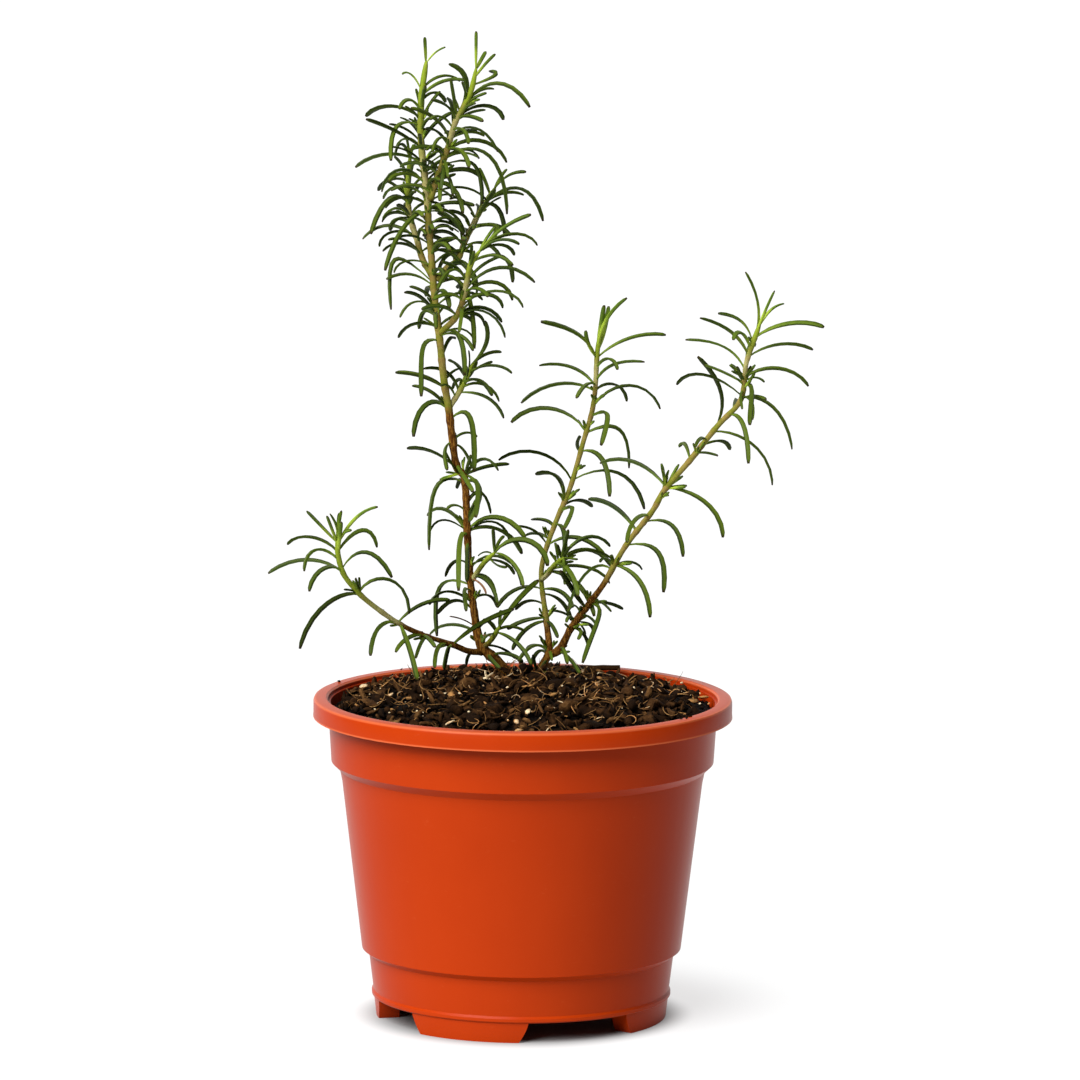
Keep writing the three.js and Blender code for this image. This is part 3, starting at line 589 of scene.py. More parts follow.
def add_curl(blank, half, curl, tone, at, tilt):
    """A strip or thread, half (length, width, thickness), curled through an angle in degrees."""
    turn = any_way(tilt)
    bend = math.radians(curl)
    twist = mix_chance.uniform(-0.5, 0.5)

    def placed(place):
        angle, radius = bend * place.x / 2, 2 * half[0] / bend
        taper = 1 - 0.55 * place.x * place.x
        across, thick = place.y * half[1] * taper, place.z * half[2] * taper
        outer = radius + across
        point = Vector((outer * math.sin(angle), radius - outer * math.cos(angle), thick))
        point.z += twist * place.x * half[0]
        return held_in(turn @ point + at)

    grained(shred_grain, add_copy(shreds_bm, blank, placed), tone, CURL_SPREAD)


for _ in range(LUMP_COUNT):
    size = 1.5 + 2.1 * mix_chance.random() ** 1.6
    tone = 0.26 + 0.26 * mix_chance.random() ** 1.4
    add_lump(lump_blank, size, mix_chance.uniform(0.1, 0.9), tone)
for _ in range(CRUMB_COUNT):
    size = mix_chance.uniform(0.45, 1.25)
    tone = 0.18 + 0.40 * mix_chance.random() ** 1.5
    add_lump(crumb_blank, size, mix_chance.uniform(-1.2, 0.8), tone)
for _ in range(SHRED_COUNT):
    length = mix_chance.uniform(1.3, 3.4)
    at = over_mix(length, 0.6, 2.4)
    half = (length, mix_chance.uniform(0.35, 0.95), mix_chance.uniform(0.18, 0.4))
    tone = 0.26 + 0.36 * mix_chance.random() ** 1.3
    add_curl(strip_blank, half, mix_chance.uniform(30, 150), tone, at, 65)
for _ in range(CHIP_COUNT):
    length = mix_chance.uniform(0.9, 1.9)
    at = over_mix(length, 1.6, 2.6)
    half = (length, mix_chance.uniform(0.6, 1.0), 0.3)
    add_curl(strip_blank, half, 40, mix_chance.uniform(0.74, 0.92), at, 35)
for _ in range(FIBRE_COUNT):
    length = mix_chance.uniform(1.6, 5.2)
    at = over_mix(length, 1.2, 3.2)
    half = (length, mix_chance.uniform(0.10, 0.2), mix_chance.uniform(0.10, 0.2))
    tone = 0.52 + 0.36 * mix_chance.random()
    add_curl(thread_blank, half, mix_chance.uniform(40, 300), tone, at, 50)
for _ in range(FLECK_COUNT):
    at = over_mix(1, 1.4, 2.8)
    add_lump(crumb_blank, mix_chance.uniform(0.25, 0.62), 0.5, mix_chance.uniform(0.86, 1.0), at)

HUSK_AT = Vector((-11.7, 8.6, 104.6))
HUSK_STEP = Vector((0.8, 0.5, -0.5))
for layer in range(3):
    add_curl(strip_blank, (3.0, 0.8, 0.22), 200, 0.93, HUSK_AT + layer * HUSK_STEP, 55)
STICK_ENDS = Vector((12, 53.5, 100.2)), Vector((30.5, 48.6, 101.2))
stick_line = STICK_ENDS[1] - STICK_ENDS[0]
stick_turn = stick_line.to_track_quat("X", "Z").to_matrix()


def on_stick(place):
    rough = 1 + 0.18 * noise.noise(place * 3)
    swung = Vector((place.x * stick_line.length / 2, place.y * 0.85 * rough, place.z * 0.7 * rough))
    return held_in(stick_turn @ swung + (STICK_ENDS[0] + STICK_ENDS[1]) / 2)


grained(shred_grain, add_copy(shreds_bm, strip_blank, on_stick), 0.46, STICK_SPREAD)

RIM_CRUMBS = [(-57.4, 25.2), (48.4, -38.6), (50.2, -37.4), (51.3, -34.2), (-38.5, 49.2), (-34.2, 52)]
for x, y in RIM_CRUMBS:
    add_lump(crumb_blank, mix_chance.uniform(0.5, 0.9), 0.5, 0.3, Vector((x, y, RIM_TOP)))

soil = Finish(
    bpy.data.materials.new("potting_mix"), {"IOR": 1.42, "Specular IOR Level": 0.06},
)
soil_places = soil.places()
pale, above, rough, _ = soil.held("grain")
fine = soil.grain(soil_places, 1500, 4, 0.65)
coarse = soil.grain(soil_places, 420, 3, 0.6)
fibrous = soil.grain(soil.stretched((2200, 700, 2600)), 1, 3, 0.6)
# Points high above the bed are painted paler and low ones darker: painted light on the tops of lumps and
# painted shade in the gaps.
painted_top_light = soil.stepped(above, 0.05, 0.85)
tone = pale + 0.17 * (fine - 0.5) + 0.13 * (coarse - 0.5) + 0.15 * (painted_top_light - 0.5)
soil.coloured(soil.add("ShaderNodeValToRGB", {"stops": MIX_COLOURS}, {0: tone}, "Color"))
soil.roughened(0.80 - 0.22 * fine + 0.12 * painted_top_light)
soil.bumped(0.6 * fine + 0.5 * fibrous + coarse, 0.9, 0.0008)
for name, bm in (
    ("potting_mix_bed", bed_bm), ("bark_and_peat_lumps", lumps_bm),
    ("bark_shreds_and_fibres", shreds_bm),
):
    mix_piece = new_piece(name, new_mesh(name, bm), soil)
    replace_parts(mix_piece, "potting_mix")
for blank in (lump_blank, crumb_blank, strip_blank, thread_blank):
    bpy.data.meshes.remove(blank)

# The stems. Two plants stand side by side: a tall one, whose trunk leans left and branches near its
# top, and one that forks close to the mix into a middle and a right stem. Their feet are woody and
# red-brown. Higher up each length between two leaf pairs is yellow-green, and turns tan below the
# next pair.
SPAN_STEPS = 6
STEM_SIDES = 10
STEM_RING = 1.3
STEM_RIDGES, RIDGE_LENGTH = 0.05, 8
GNARLING = 0.16
TIP_LENGTH, TIP_TAPER = 5, 0.55
SPRAY_APART = 3.2
SPRAY_END = 16
VIGOROUS = 60
KNOT_APART = 2.6
KNOT_REACH = 0.9
KNOT_SWELL = 0.16
FRESH_SWELL = 0.35
FRESH_LENGTH = 18
FRESH_REACH = {"trunk": 48, "right_leader": 28, "left_leader": 30, "low_left_stem": 44}
WOODY = {
    "trunk": (117, 125), "low_left_stem": (31, 40), "low_shoot": (-10, 16), "middle_stem": (44, 53),
    "right_stem": (28, 40),
}
NO_WOOD = (-20, -10)
BRANCH_RADII = (1, 0.9, 0.75, 0.6)
SHOOT_RADII = (0.8, 0.7, 0.65, 0.6)


class Stem:
    """A stem's centre line through the points of its route. Places are measured along it."""

    def __init__(self, name, route, leaves, radii=BRANCH_RADII, spray=None, shoots=()):
        points = [Vector(point) for point in route]
        ends = [2 * points[0] - points[1], *points, 2 * points[-1] - points[-2]]
        self.line = []
        for before, start, end, after in zip(ends, ends[1:], ends[2:], ends[3:]):
            leaving, arriving = (end - before) / 2, (after - start) / 2
            for step in range(SPAN_STEPS):
                t = step / SPAN_STEPS
                self.line.append(
                    start * (2 * t ** 3 - 3 * t ** 2 + 1) + leaving * (t ** 3 - 2 * t ** 2 + t)
                    + end * (3 * t ** 2 - 2 * t ** 3) + arriving * (t ** 3 - t ** 2)
                )
        self.line.append(points[-1])
        self.reach = [0]
        for start, end in zip(self.line, self.line[1:]):
            self.reach.append(self.reach[-1] + (end - start).length)
        self.length = self.reach[-1]
        self.name, self.radii, self.leaves = name, radii, leaves
        self.spray, self.shoots = spray, shoots
        self.vigour = min(1, self.length / VIGOROUS)
        self.pairs = []
        if spray:
            first = spray[0]
            sprayed = self.length - SPRAY_END * self.vigour - first
            pairs = max(1, round(sprayed / SPRAY_APART))
            share = sprayed / pairs
            self.pairs = [first + share * pair for pair in range(pairs + 1)]
        self.knots = [0]
        for place in sorted([leaf[0] for leaf in leaves] + self.pairs):
            if place - self.knots[-1] > KNOT_APART:
                self.knots.append(place)
        self.knots.append(self.length + 1)

    def point(self, place):
        place = min(max(place, 0), self.length)
        i = min(bisect.bisect_right(self.reach, place), len(self.line) - 1) - 1
        share = (place - self.reach[i]) / (self.reach[i + 1] - self.reach[i])
        return self.line[i].lerp(self.line[i + 1], share)

    def heading(self, place):
        return (self.point(place + 0.9) - self.point(place - 0.9)).normalized()

    def radius(self, place):
        along = clamped(place / self.length) * (len(self.radii) - 1)
        i = min(int(along), len(self.radii) - 2)
        return self.radii[i] + (self.radii[i + 1] - self.radii[i]) * (along - i)

    def across(self, place):
        """Two directions square to the stem: to the right, and away."""
        heading = self.heading(place)
        right = (RIGHT - heading * heading.x).normalized()
        return right, heading.cross(right)

    def since_knot(self, place):
        """How far up its length between two knots a place is, and how close to a knot."""
        i = bisect.bisect_right(self.knots, place)
        below, over = self.knots[i - 1], self.knots[min(i, len(self.knots) - 1)]
        nearest = min(place - below, abs(over - place))
        return (place - below) / max(over - below, 1), math.exp(-(nearest / KNOT_REACH) ** 2)


def stem_tube(stem):
    """A round bar bent on to a stem's line, swollen a little where leaves leave it."""
    bm = unit_bar(STEM_SIDES, round(stem.length / STEM_RING))
    growth = bm.verts.layers.float_color.new("growth")
    full, gone = WOODY.get(stem.name, NO_WOOD)
    for vert in bm.verts:
        place = vert.co.z * stem.length
        right, away = stem.across(place)
        since, close = stem.since_knot(place)
        wood = 1 - clamped((place - full) / (gone - full))
        turn = math.atan2(vert.co.y, vert.co.x)
        ridges = STEM_RIDGES * math.cos(4 * turn + math.pi * math.floor(place / RIDGE_LENGTH))
        centre = stem.point(place)
        uneven = noise.noise(Vector((2 * vert.co.x, 2 * vert.co.y, 0.35 * place)))
        fresh = max(0, 1 - (stem.length - place) / FRESH_REACH.get(stem.name, FRESH_LENGTH))
        swell = KNOT_SWELL * close + ridges + GNARLING * wood * uneven + FRESH_SWELL * fresh
        radius = stem.radius(place) * (1 + swell)
        radius *= 1 - TIP_TAPER * max(0, 1 - (stem.length - place) / TIP_LENGTH) ** 2
        vert.co = centre + right * (vert.co.x * radius) + away * (vert.co.y * radius)
        vert[growth] = (since, wood, fresh, close)
    return bm


# A stem's leaves are listed by their place up the stem, the distance of their tip to the right, away
# and up from there, how high they arch over that line, how far they bow to the right of it, and how
# many degrees they are twisted. Its spray is where its close pairs of leaves start, and how long the
# last of them are. Its shoots are listed by place, degrees round the stem from its right, number of
# leaves and greatest length.
tall_stems = [
    Stem("trunk", spray=(147, 9), radii=[2.2, 1.95, 1.1, 1.15, 1.2, 1.15, 1.05, 0.95, 0.7], route=[
        (-5, 18.5, 72), (-5, 18.5, 97), (-5, 18.5, 103.5), (-7.5, 18.4, 107.5), (-11.2, 18, 111),
        (-13.8, 18, 115), (-16.3, 17, 131), (-17.5, 16, 146.5), (-18.5, 14, 166), (-21.2, 14, 170.5),
        (-23.5, 12.5, 188), (-25, 12, 197), (-26.5, 12, 210.5), (-28, 12.5, 222.5), (-29.5, 13, 240),
        (-31, 15, 257.5), (-32.5, 16, 271), (-32.5, 17, 284.5), (-31, 18, 296),
    ], leaves=[
        (40, -7.5, 5, -4, 2.5, -2), (40, 3, -10.5, -2.5, 1, -1.5), (44, 10.5, 7, -5, 1.5),
        (55, -11.5, 3.5, -1, 4), (58, -13.5, -6.5, 0.5, 4, -1.5), (64, -10.5, 7.5, -17.5, 6.5, -5.5),
        (62, -1.5, -15, -4, 3, -2, -30), (80, -2.5, -17, -15, 5.5, -1.5, -35), (59, 7.5, 9, -3.5, 2.5),
        (68, 16, -3, -3.5, 7, -1.5), (70, -7.5, 10.5, -5, 3), (80, -12.5, 3, 5.5, 5),
        (81, -12, -3, -1.5, 4.5, -2), (80, 13, 4, -2.5, 5), (81, 18, -3, -1.5, 5.5, -0.5),
        (89, 7.5, 3, -2.5, 5.5), (97, -11, -3, -21, 7.5, -5), (97, 3.5, -14.5, -9, 4, 3, 45),
        (98, -18, 6.5, 8.5, 3.5), (99, 14, 9, 2.5, 1), (118, 7.5, -3, -16, 8, 3),
        (120, -11, -3, -7, 6.5, 0, -35), (128, -15.5, 6.5, 4, 1.5), (143, -5.5, -11, -16, 5, -4, -25),
        (121, -11.5, 8, 6.5, 2), (112, 1, 14, -5, 2.5), (137, 4, 12, 5, 3), (92, -3, 13, 1, 4),
        (100, 2, -3, -15, 1, 5.5), (70, 14, 6, -3.5, 3), (67, 8, -3, -6.5, 2.5, 1.5),
        (229, -0.5, 3, 8, 0.5), (229, 6, -3, 5.5, 1), (220, -6, -3.5, 6, 3), (221, 11.5, 6.5, 2, 3),
        (219, 14.5, -8, 5.5, 2.5), (217, 7.5, 6.5, -0.5, 3), (214, -6.5, -6.5, 1.5, 3.5),
        (212, -17, 6, 0, 3.5), (203, -17, -7, 9.5, 1), (198, -21, 3, -1.5, 3.5),
        (210, -9, -6, -10.5, 4.5, -3.5), (191, -13.5, -3, -1.5, 6), (187, -13.5, 5, -0.5, 4),
        (183, -13, -10.5, -17, 4.5), (161, -13, -3, -8, 11, -7, -40), (155, -8, 7.5, 4, 1),
        (150, -10, -8, 9, 2.5), (175, 7, 7, 1.5, 3), (171, 7.5, -10.5, 5, 1.5), (170, 7.5, 6.5, -2, 2),
        (164, 13, -3, -23, 5, 5.5), (144, 10.5, 3, -1, 3), (144, 10.5, -9, -3, 3),
        (145, 8, -10, -11.5, 5.5, 2.5), (130, 5, 6, 3.5, 1), (202, -8, 6.5, 0, 3.5),
        (206, -6.5, 8, 5.5, 1.5), (78, 0, -11.5, -11, 0.5, 0, 40), (48, -15, 8, -1.5, 3),
        (66, 8.5, -7, -7, 3.5), (40, 10, -4.5, -1.5, 1.5), (81, 17, 4, -7.5, 4, 0.5),
        (87, -6, -3, 1.5, 2), (104, 5.5, -10.5, -7.5, -0.5), (98, 10.5, -3, 3, 5), (98, 2, -3.5, 8, 0.5),
        (99, -6, -3, 8.5, -1.5), (111, -1.5, -7.5, -8, 1, -2, 70), (111, 7.5, 3, 1, 2),
        (110, 6, 3.5, -8, 2), (83, 2, -3, 7, 0.5), (196.5, 8, -3, 6, 0.5),
        (193, 9.5, -5, 2.5, -0.5, 0, 50), (190.5, 11.5, -7, -7, 4.5, 1.5, 40), (184, 14.5, -3, 1.5, 1.5),
        (184, 11, 4, -8.5, 2.5, 1), (189.5, 8, -6, -1.5, 1.5), (195, 6, -6, 5, 0.5),
        (183, 10.5, -4, -6, 2.5), (176.5, 9, 3, 0, 2), (170.5, 7.5, 5, 4, 0.5), (171, 9, -4, -3, 1.5),
    ], shoots=[
        (44, 0, 2, 5), (45, 180, 3, 5), (59, 0, 3, 5), (59, 180, 3, 5), (70, 0, 2, 5), (83, 180, 2, 5),
        (86, 0, 3, 7), (100, 0, 3, 5), (100, 180, 3, 7.5), (123, 180, 2, 3), (145, 0, 3, 6.5),
        (151, 0, 2, 5),
    ]),
    Stem("low_left_stem", radii=[1, 0.8, 0.75, 0.7, 0.6], route=[
        (-13, 18, 111), (-17, 14, 112), (-22.5, 9, 115), (-31, 1.5, 119), (-39, -5, 124),
        (-48, -11, 131.5), (-52.5, -14, 136.5), (-55.5, -16, 141), (-57, -17.5, 146.5),
        (-57.5, -18.5, 152),
    ], leaves=[
        (74, -9.5, 8, 8.5, 0), (74, 0.5, 7.5, 8, 0), (74, -3, -5, 9, 0), (73, 12.5, -3, 12.5, 3),
        (71, -15.5, 4, 1.5, 3.5), (71, 12, 3, 1, 6, 1.5), (68, -10.5, -8.5, -2, 5, -1.5),
        (64, -23, 3, -1, 4), (64, -10, -10, -4.5, 4, 0, -40), (65, 15.5, -3, -2, 6.5),
        (55, 15.5, 3, -7, 7), (54, -18.5, -3, -16.5, 5, 0, 35), (54, -1.5, -3, 5.5, 0.5),
        (38, -7.5, -14, -8.5, 2.5, -2, -35), (36, 5.5, -15.5, -15, 1), (37, 16, 4.5, 6.5, 2.5),
        (25, -9, -10.5, -3.5, 2), (24, -3.5, -11, -5, 1.5), (26, 4, -11, -2, 0.5),
        (15, -4, -11, -6, 2, -1.5), (14, -2, 8.5, -9.5, 1), (13, 19, -4, 12, 1.5, 0, 45),
        (44, 0, 15, -3, 0.5), (27, 0, 14, -4, 1), (75, 1.5, -4, 9.5, 0.5), (75, -2, -3.5, 8.5, 0, 1),
        (73, 4.5, -5, 5.5, 1.5), (70, 1, -5, 11, 0.5), (54, -0.5, 3, 5, 0.3), (54, -5, -3, 2, 0.5),
    ], shoots=[
        (14, 270, 2, 5), (25, 200, 2, 5), (36, 180, 2, 4), (55, 0, 3, 5),
    ]),
    Stem("low_shoot", radii=SHOOT_RADII, route=[
        (-12.5, 18, 112.5), (-10, 14, 115.5), (-7.5, 9, 120.5),
    ], leaves=[
        (12, 12.5, -4, 16, 1.5, 0, 55), (13, 0.5, 5, 4.5, 0), (11, 7, 9, -1, 1), (10, 11, -8, -9, 2),
        (9, -4, -7, -1.5, 1), (10, -4, 7, 3, 1), (12, 8.5, 4.5, -1.5, 1), (11, -5.5, 3, 0.5, 2.5),
    ]),
    Stem("inner_shoot", radii=SHOOT_RADII, route=[
        (-16, 17, 134), (-12.5, 12, 140), (-9, 8, 144),
    ], leaves=[
        (15, 16.5, -3, -3.5, 6, 0, 20), (15, 9, -10, -9, 2.5, 0, 15), (15, -0.5, -3, 8, 0.5),
        (14, -4.5, 3.5, -1, 1), (15, 3, 5.5, 4.5, 1), (12, 5.5, -3, -2.5, -1),
    ]),
    Stem("right_twig", spray=(6, 9), radii=[0.8, 0.75, 0.7, 0.6], route=[
        (-23.5, 12.5, 188.5), (-20, 15, 194), (-18, 17, 198), (-16, 19, 202),
    ], leaves=[
        (17, 3.5, -3, 13.5, 0.5, 2.5), (16, 9, 4.5, 3.5, 1.5), (13, 13.5, -4, 0.5, 2.5),
        (11, 3.5, 7, 4.5, -1), (9, 9, -8, -2.5, 3), (7, 12, 3, -4, 3.5), (4, -4.5, -6, 4.5, 2),
        (11, -5.5, 9, 4.5, 1.5),
    ]),
    Stem("front_branch", spray=(9, 9), route=[
        (-26.5, 12, 212), (-21.5, 8, 217.5), (-19, 4, 224.5), (-17, 1, 234.5), (-14, -1, 239.5),
    ], leaves=[
        (33, 16, -3, 12, 2), (32, 18.5, 3, 2.5, 5), (32, 13, -3, 3.5, 3), (31, 12, 4, 0, 3.5),
        (28, 13, -6.5, 0.5, 3), (29, 12.5, 5.5, -7, 4.5, 3.5), (19, 21.5, -3, 3, 6), (17, 15, 3, -1.5, 5),
        (12, 19.5, -3, 1, 5.5), (8, 14.5, 3, -1.5, 4), (8, 15.5, -3, -5.5, 5), (33, 5, 3.5, 7.5, 0.5),
        (22, -9, -6, -2, 5), (25, -7, 7.5, -2, 3.5),
    ]),
    Stem("back_branch", spray=(8, 9), route=[
        (-27.5, 13, 228.5), (-24.5, 14.5, 232), (-21, 16.5, 234.5), (-19, 19, 239.5),
        (-16.5, 21.5, 244.5), (-13.5, 24, 250), (-9.5, 26, 256),
    ], leaves=[
        (35, 10, -3.5, 6, 2), (35, 4, 5, 6, 0.5), (33, -3.5, 8.5, 7.5, 0.5), (30, 12, 5.5, 2, 2),
        (31, 17.5, -3, -6, 6.5, 2.5), (22, 3, -11, -6.5, 2.5, 7.5), (17, -9, 9, 7, 1.5),
        (24, -8, -7, 7, 3), (27, 7.5, 3, -7.5, 5), (6, 8, -7.5, -5.5, 4),
    ]),
    Stem("left_leader", spray=(8, 8), route=[
        (-29, 13, 230), (-32, 15, 235), (-33.5, 17, 240), (-35.5, 19, 246), (-36.5, 21, 251),
        (-36.5, 23, 258.5), (-36, 25, 266),
    ], leaves=[
        (24, -11.5, -3, -9, 6), (20, -8.5, 10, -2, 3), (20, -4, -7.5, 4.5, 1), (12, -17, 4, 0, 4.5),
        (7, -10, -9.5, 6, 2.5), (38, -4.5, -5.5, 1.5, 4.5), (37, 1.5, 6.5, 5, 1.5), (32, -4.5, 9, 6, 1),
        (31, -9.5, 11.5, -4, 2), (39, -1, -5, 6.5, 0),
    ]),
    Stem("right_leader", spray=(2, 9), route=[
        (-29.5, 14, 253.5), (-27, 11.5, 261.5), (-24.5, 8.5, 269), (-22, 5.5, 278), (-19.5, 3.5, 283),
        (-17, 2, 288.5), (-15.5, 1, 295.5),
    ], leaves=[
        (46, 0, -3, 12, 0.5), (46, 3, 5.5, 5, 0), (43, 6.5, -3.5, 8, 0.5), (41, 5, 9, 3.5, 1, 4.5),
        (32, -4, 8, 13.5, 3, 3), (29, -2, -6.5, 12.5, 0), (33, 20.5, -3, 0.5, 7.5), (34, 9, 5, 4.5, 2),
        (28, 14.5, 3, 0, 4.5), (29, 8, -10, 0, 1), (22, 8, 7, 1.5, 1), (22, 14.5, -3, -4, 5),
        (17, 18.5, 3, -3.5, 5), (14, 11, -7.5, 1.5, 2), (16, 19, -3, -18, 8, 4.5),
        (12, 12.5, 3, -12, 5.5, 5), (25, -7, -7, 3.5, 2.5), (19, -7, 7.5, 4.5, 2), (12, 2, -8, -3, 3),
        (16, -6, -6, 2, 2), (10, -5, -5, 4, 1), (7, 5, -9, -4, 4), (20, -5, -7, -2, 3),
    ]),
]

forked_stems = [
    Stem("middle_stem", radii=[1.9, 1.6, 1.3, 0.85, 0.82, 0.82, 0.8, 0.75, 0.6], route=[
        (4.5, 20, 72), (4.5, 20, 97), (4.5, 20, 103.5), (6.3, 20, 107), (8, 20, 110.5), (8, 20, 114),
        (7, 22, 122), (5.5, 24, 133.5), (6.5, 25, 141), (10, 27, 151), (14.5, 28, 162), (18.5, 28, 176.5),
        (21, 28, 185.5), (22, 27.5, 193), (22.5, 27, 204), (23.5, 26.5, 211),
    ], leaves=[
        (137, 2, -3, 15, 0.3), (137, 9, -4.5, 17.5, 2, -1.5), (137, 3.5, 3, 14, 0, 0.5),
        (134, -17.5, -5.5, 13, 2.5, 2.5), (135, -3.5, -3, 9, 0.5, -1, 50), (135, 21.5, 3, 7, 3),
        (127.5, 15, -9, 7.5, 2.5, -1.5), (126, -17.5, 7.5, 5.5, 3, 1), (124.5, -23, -3, -3.5, 4),
        (126.5, -6, -12.5, -2.5, 2), (124.5, 10, 10, -4.5, 3.5), (119.5, 21, 3, -1, 7),
        (111.5, -23.5, -3, 3, 6, 0.5), (116.5, 3, -16, -7, 4.5, 4.5, -25), (111, 13.5, 3, -11.5, 6, 4.5),
        (95, -23, -3, 7, 6, 1.5), (88, -9, 9, 7.5, 4, 2), (105, 9, -9, -13, 4, 2.5, 30),
        (95.5, 22.5, 3, -9.5, 6.5, 3), (86.5, 9.5, 10.5, -1.5, 2), (85, 1, -15, -3.5, 3.5, 3.5, -35),
        (79.5, -7, 10, 1, 1, 1), (80.5, 3, -12.5, -9.5, 3, 1.5), (73.5, 18, -4, -2.5, 4, 0.5),
        (75.5, -8, 11, -1, 1.5), (59.5, 9.5, -10.5, -4, 2, 1), (58, 9, 7.5, -9.5, 2, 0.5),
        (54.5, -9, 9.5, -3, 2), (50.5, -12, -10, -2, 1), (49.5, -10.5, 8, -10.5, 2),
        (49.5, 3.5, -10.5, -3.5, 1), (52.5, 8.5, 9, -3.5, 1), (39.5, -9.5, -8, -1.5, 3.5),
        (38.5, -5.5, 8, -5, 3), (73.5, -10, 3, 5.5, 2, 0.5), (104.5, 0, 12, 3.5, 0.3, -1),
        (117.5, 1.5, 17, 2, 1.5), (59.5, -14, -5.5, -5, 3), (39.5, -7, -3, 1.5, 2),
        (39.5, 1, -6, -1.5, 1), (31.5, -1.5, -3.5, 7, 0), (32.5, 2.5, -4.5, 4.5, 0),
        (32.5, 6, -5, -1, 0.5), (131.5, 6.5, -9, 1, 3.5),
    ], shoots=[
        (40.5, 0, 2, 5), (40.5, 180, 3, 5), (50.5, 0, 3, 5), (50.5, 180, 2, 4), (62.5, 0, 2, 5),
        (75.5, 180, 3, 5), (88, 180, 3, 5.5), (88.5, 0, 4, 6), (98.5, 0, 3, 4), (111.5, 180, 3, 4.5),
        (113.5, 0, 2, 3.5), (120.5, 0, 3, 6), (121.5, 270, 2, 4.5), (124.5, 180, 2, 3),
    ]),
    Stem("inner_shoot", radii=SHOOT_RADII, route=[
        (5.5, 24, 133), (7.5, 19, 135.5), (9, 15, 138.5), (12.5, 10, 142.5),
    ], leaves=[
        (15, 16.5, 3, -2, 4.5), (15, -1, 6, 5, 0.5), (16, 3, -5, 5, 0), (17, 2, -9, 10.5, 0),
        (13, 7, -13, -8, 3), (17, 15, 3, 3.5, 5), (18, 0.5, -6.5, -7.5, 0), (18, 4.5, -4, 0, 0),
        (8, 14, -6, -13, 3.5, 0, 30), (9, 18.5, 3, -4.5, 3), (17, -1.5, -3, 5, 0),
    ], shoots=[
        (14, 0, 4, 5.5), (14, 180, 2, 5),
    ]),
    Stem("right_stem", radii=[1.3, 1, 0.85, 0.88, 0.88, 0.8, 0.6], route=[
        (8, 20, 110), (11.5, 18, 112), (14.5, 16, 118.5), (19, 12, 125.5), (25, 8.5, 134.5),
        (31.5, 3.5, 147), (39.5, -1.5, 158.5), (43.5, -4, 166), (51, -7.5, 175.5), (59.5, -11, 187),
        (66, -13.5, 194.5), (67.5, -14.5, 202), (68, -15.5, 207.5), (72, -16.5, 219.5),
    ], leaves=[
        (127, -2, 5, 22.5, 1, 3, 55), (131, 5.5, -3, 14, 0.5), (133, 8, 6, 7, 2),
        (130, 21, -5, 4, 3, 0, 25), (128, -10.5, 6.5, 8.5, 2.5, 1.5, 30), (124, -15, -3, 12, 2, 1.5),
        (123.5, 20, 3.5, 2, 3), (119, -18.5, -3, 10, 3, 2, 25), (117, 19.5, 3, -3, 4),
        (111, -20, 3, 3, 5, -2), (115, -12, 9.5, 4.5, 0.5), (96.5, -5, 10, 21.5, 1, 4.5, 60),
        (115, 1.5, -13, -11, 3, 2.5), (110.5, 15.5, -3, -15.5, 4.5, 1.5), (103.5, 6, -8, -14, 4, 1.5, 25),
        (96, 18.5, 3, -17, 4, 1.5), (90, 9, 9.5, -2.5, 2, 1.5), (87, 6.5, -9, 0.5, 0.5),
        (72, -20.5, 3, 7, 4.5), (72, 17.5, -3, -15, 3, 2), (61, -7, -13.5, -6.5, 2.5, -1, -40),
        (54, -15, 3, 9.5, 3), (58, 12, -8, -9.5, 4, 3), (48, 11.5, -8, -13.5, 4.5, 5),
        (40, 11, -9, -15, 2.5, 2.5), (41, -15, -3, 2, 3), (24, 10.5, 8, -3, 1),
        (24, -2, -10.5, -17, 4, 5.5), (22, -8, -11, 13.5, -0.5), (16, 5.5, 8, -5, 0.5, 2),
        (14, 5, 8, -8.5, 1), (5, 2, -11, -3, 1.5), (4, 6.5, -8.5, -6, 1), (121, 3, 15, 4, 3),
        (106, 1, 15, 1, 0.5), (84, -3, 15, 2, 3), (66, 2, 15, 0, 0.5), (38, -13.5, -3, -12, 5.5, 0, 20),
        (25.5, 6, -4, -3, 1), (39, 9, 5, -1.5, 2), (15, -2.5, -4.5, 1, 2), (19, -4, -3, 1.5, 2.5),
        (19, 5, -5.5, -2.5, 1), (16, 3, 4, -5, 0.5), (13, 2, -7, -2.5, 0.5, 2.5), (18, 0.5, -3, 4, 0),
        (39, -4, 3.5, 1, 2), (115.5, 6, -4, 0.5, 1.5), (110, 7.5, -8, 1, 1), (111, 3, -9, -6, 1.5, 1.5),
        (113, -0.5, -7, -5, 0.5, -1), (116, -2.5, -5, 5, -0.5), (114.5, -4, 4, 5.5, 1),
        (117, 2, -5, 3.5, 0), (126, -5.5, -8, 4, 4), (92.5, -3.5, -9, -1, 1.5, 0, -30),
    ], shoots=[
        (4, 0, 2, 4.5), (13, 270, 3, 5), (15, 0, 4, 6), (24, 0, 3, 5), (24, 180, 3, 4.5), (40, 0, 3, 5.5),
        (40, 180, 3, 5), (41, 270, 2, 5), (68, 270, 3, 5), (71, 150, 5, 8), (72, 0, 3, 8),
        (87, 270, 3, 6), (109, 300, 2, 5), (114, 270, 3, 6.5), (116, 0, 3, 5.5), (117, 180, 3, 6),
        (128, 180, 2, 3),
    ]),
]

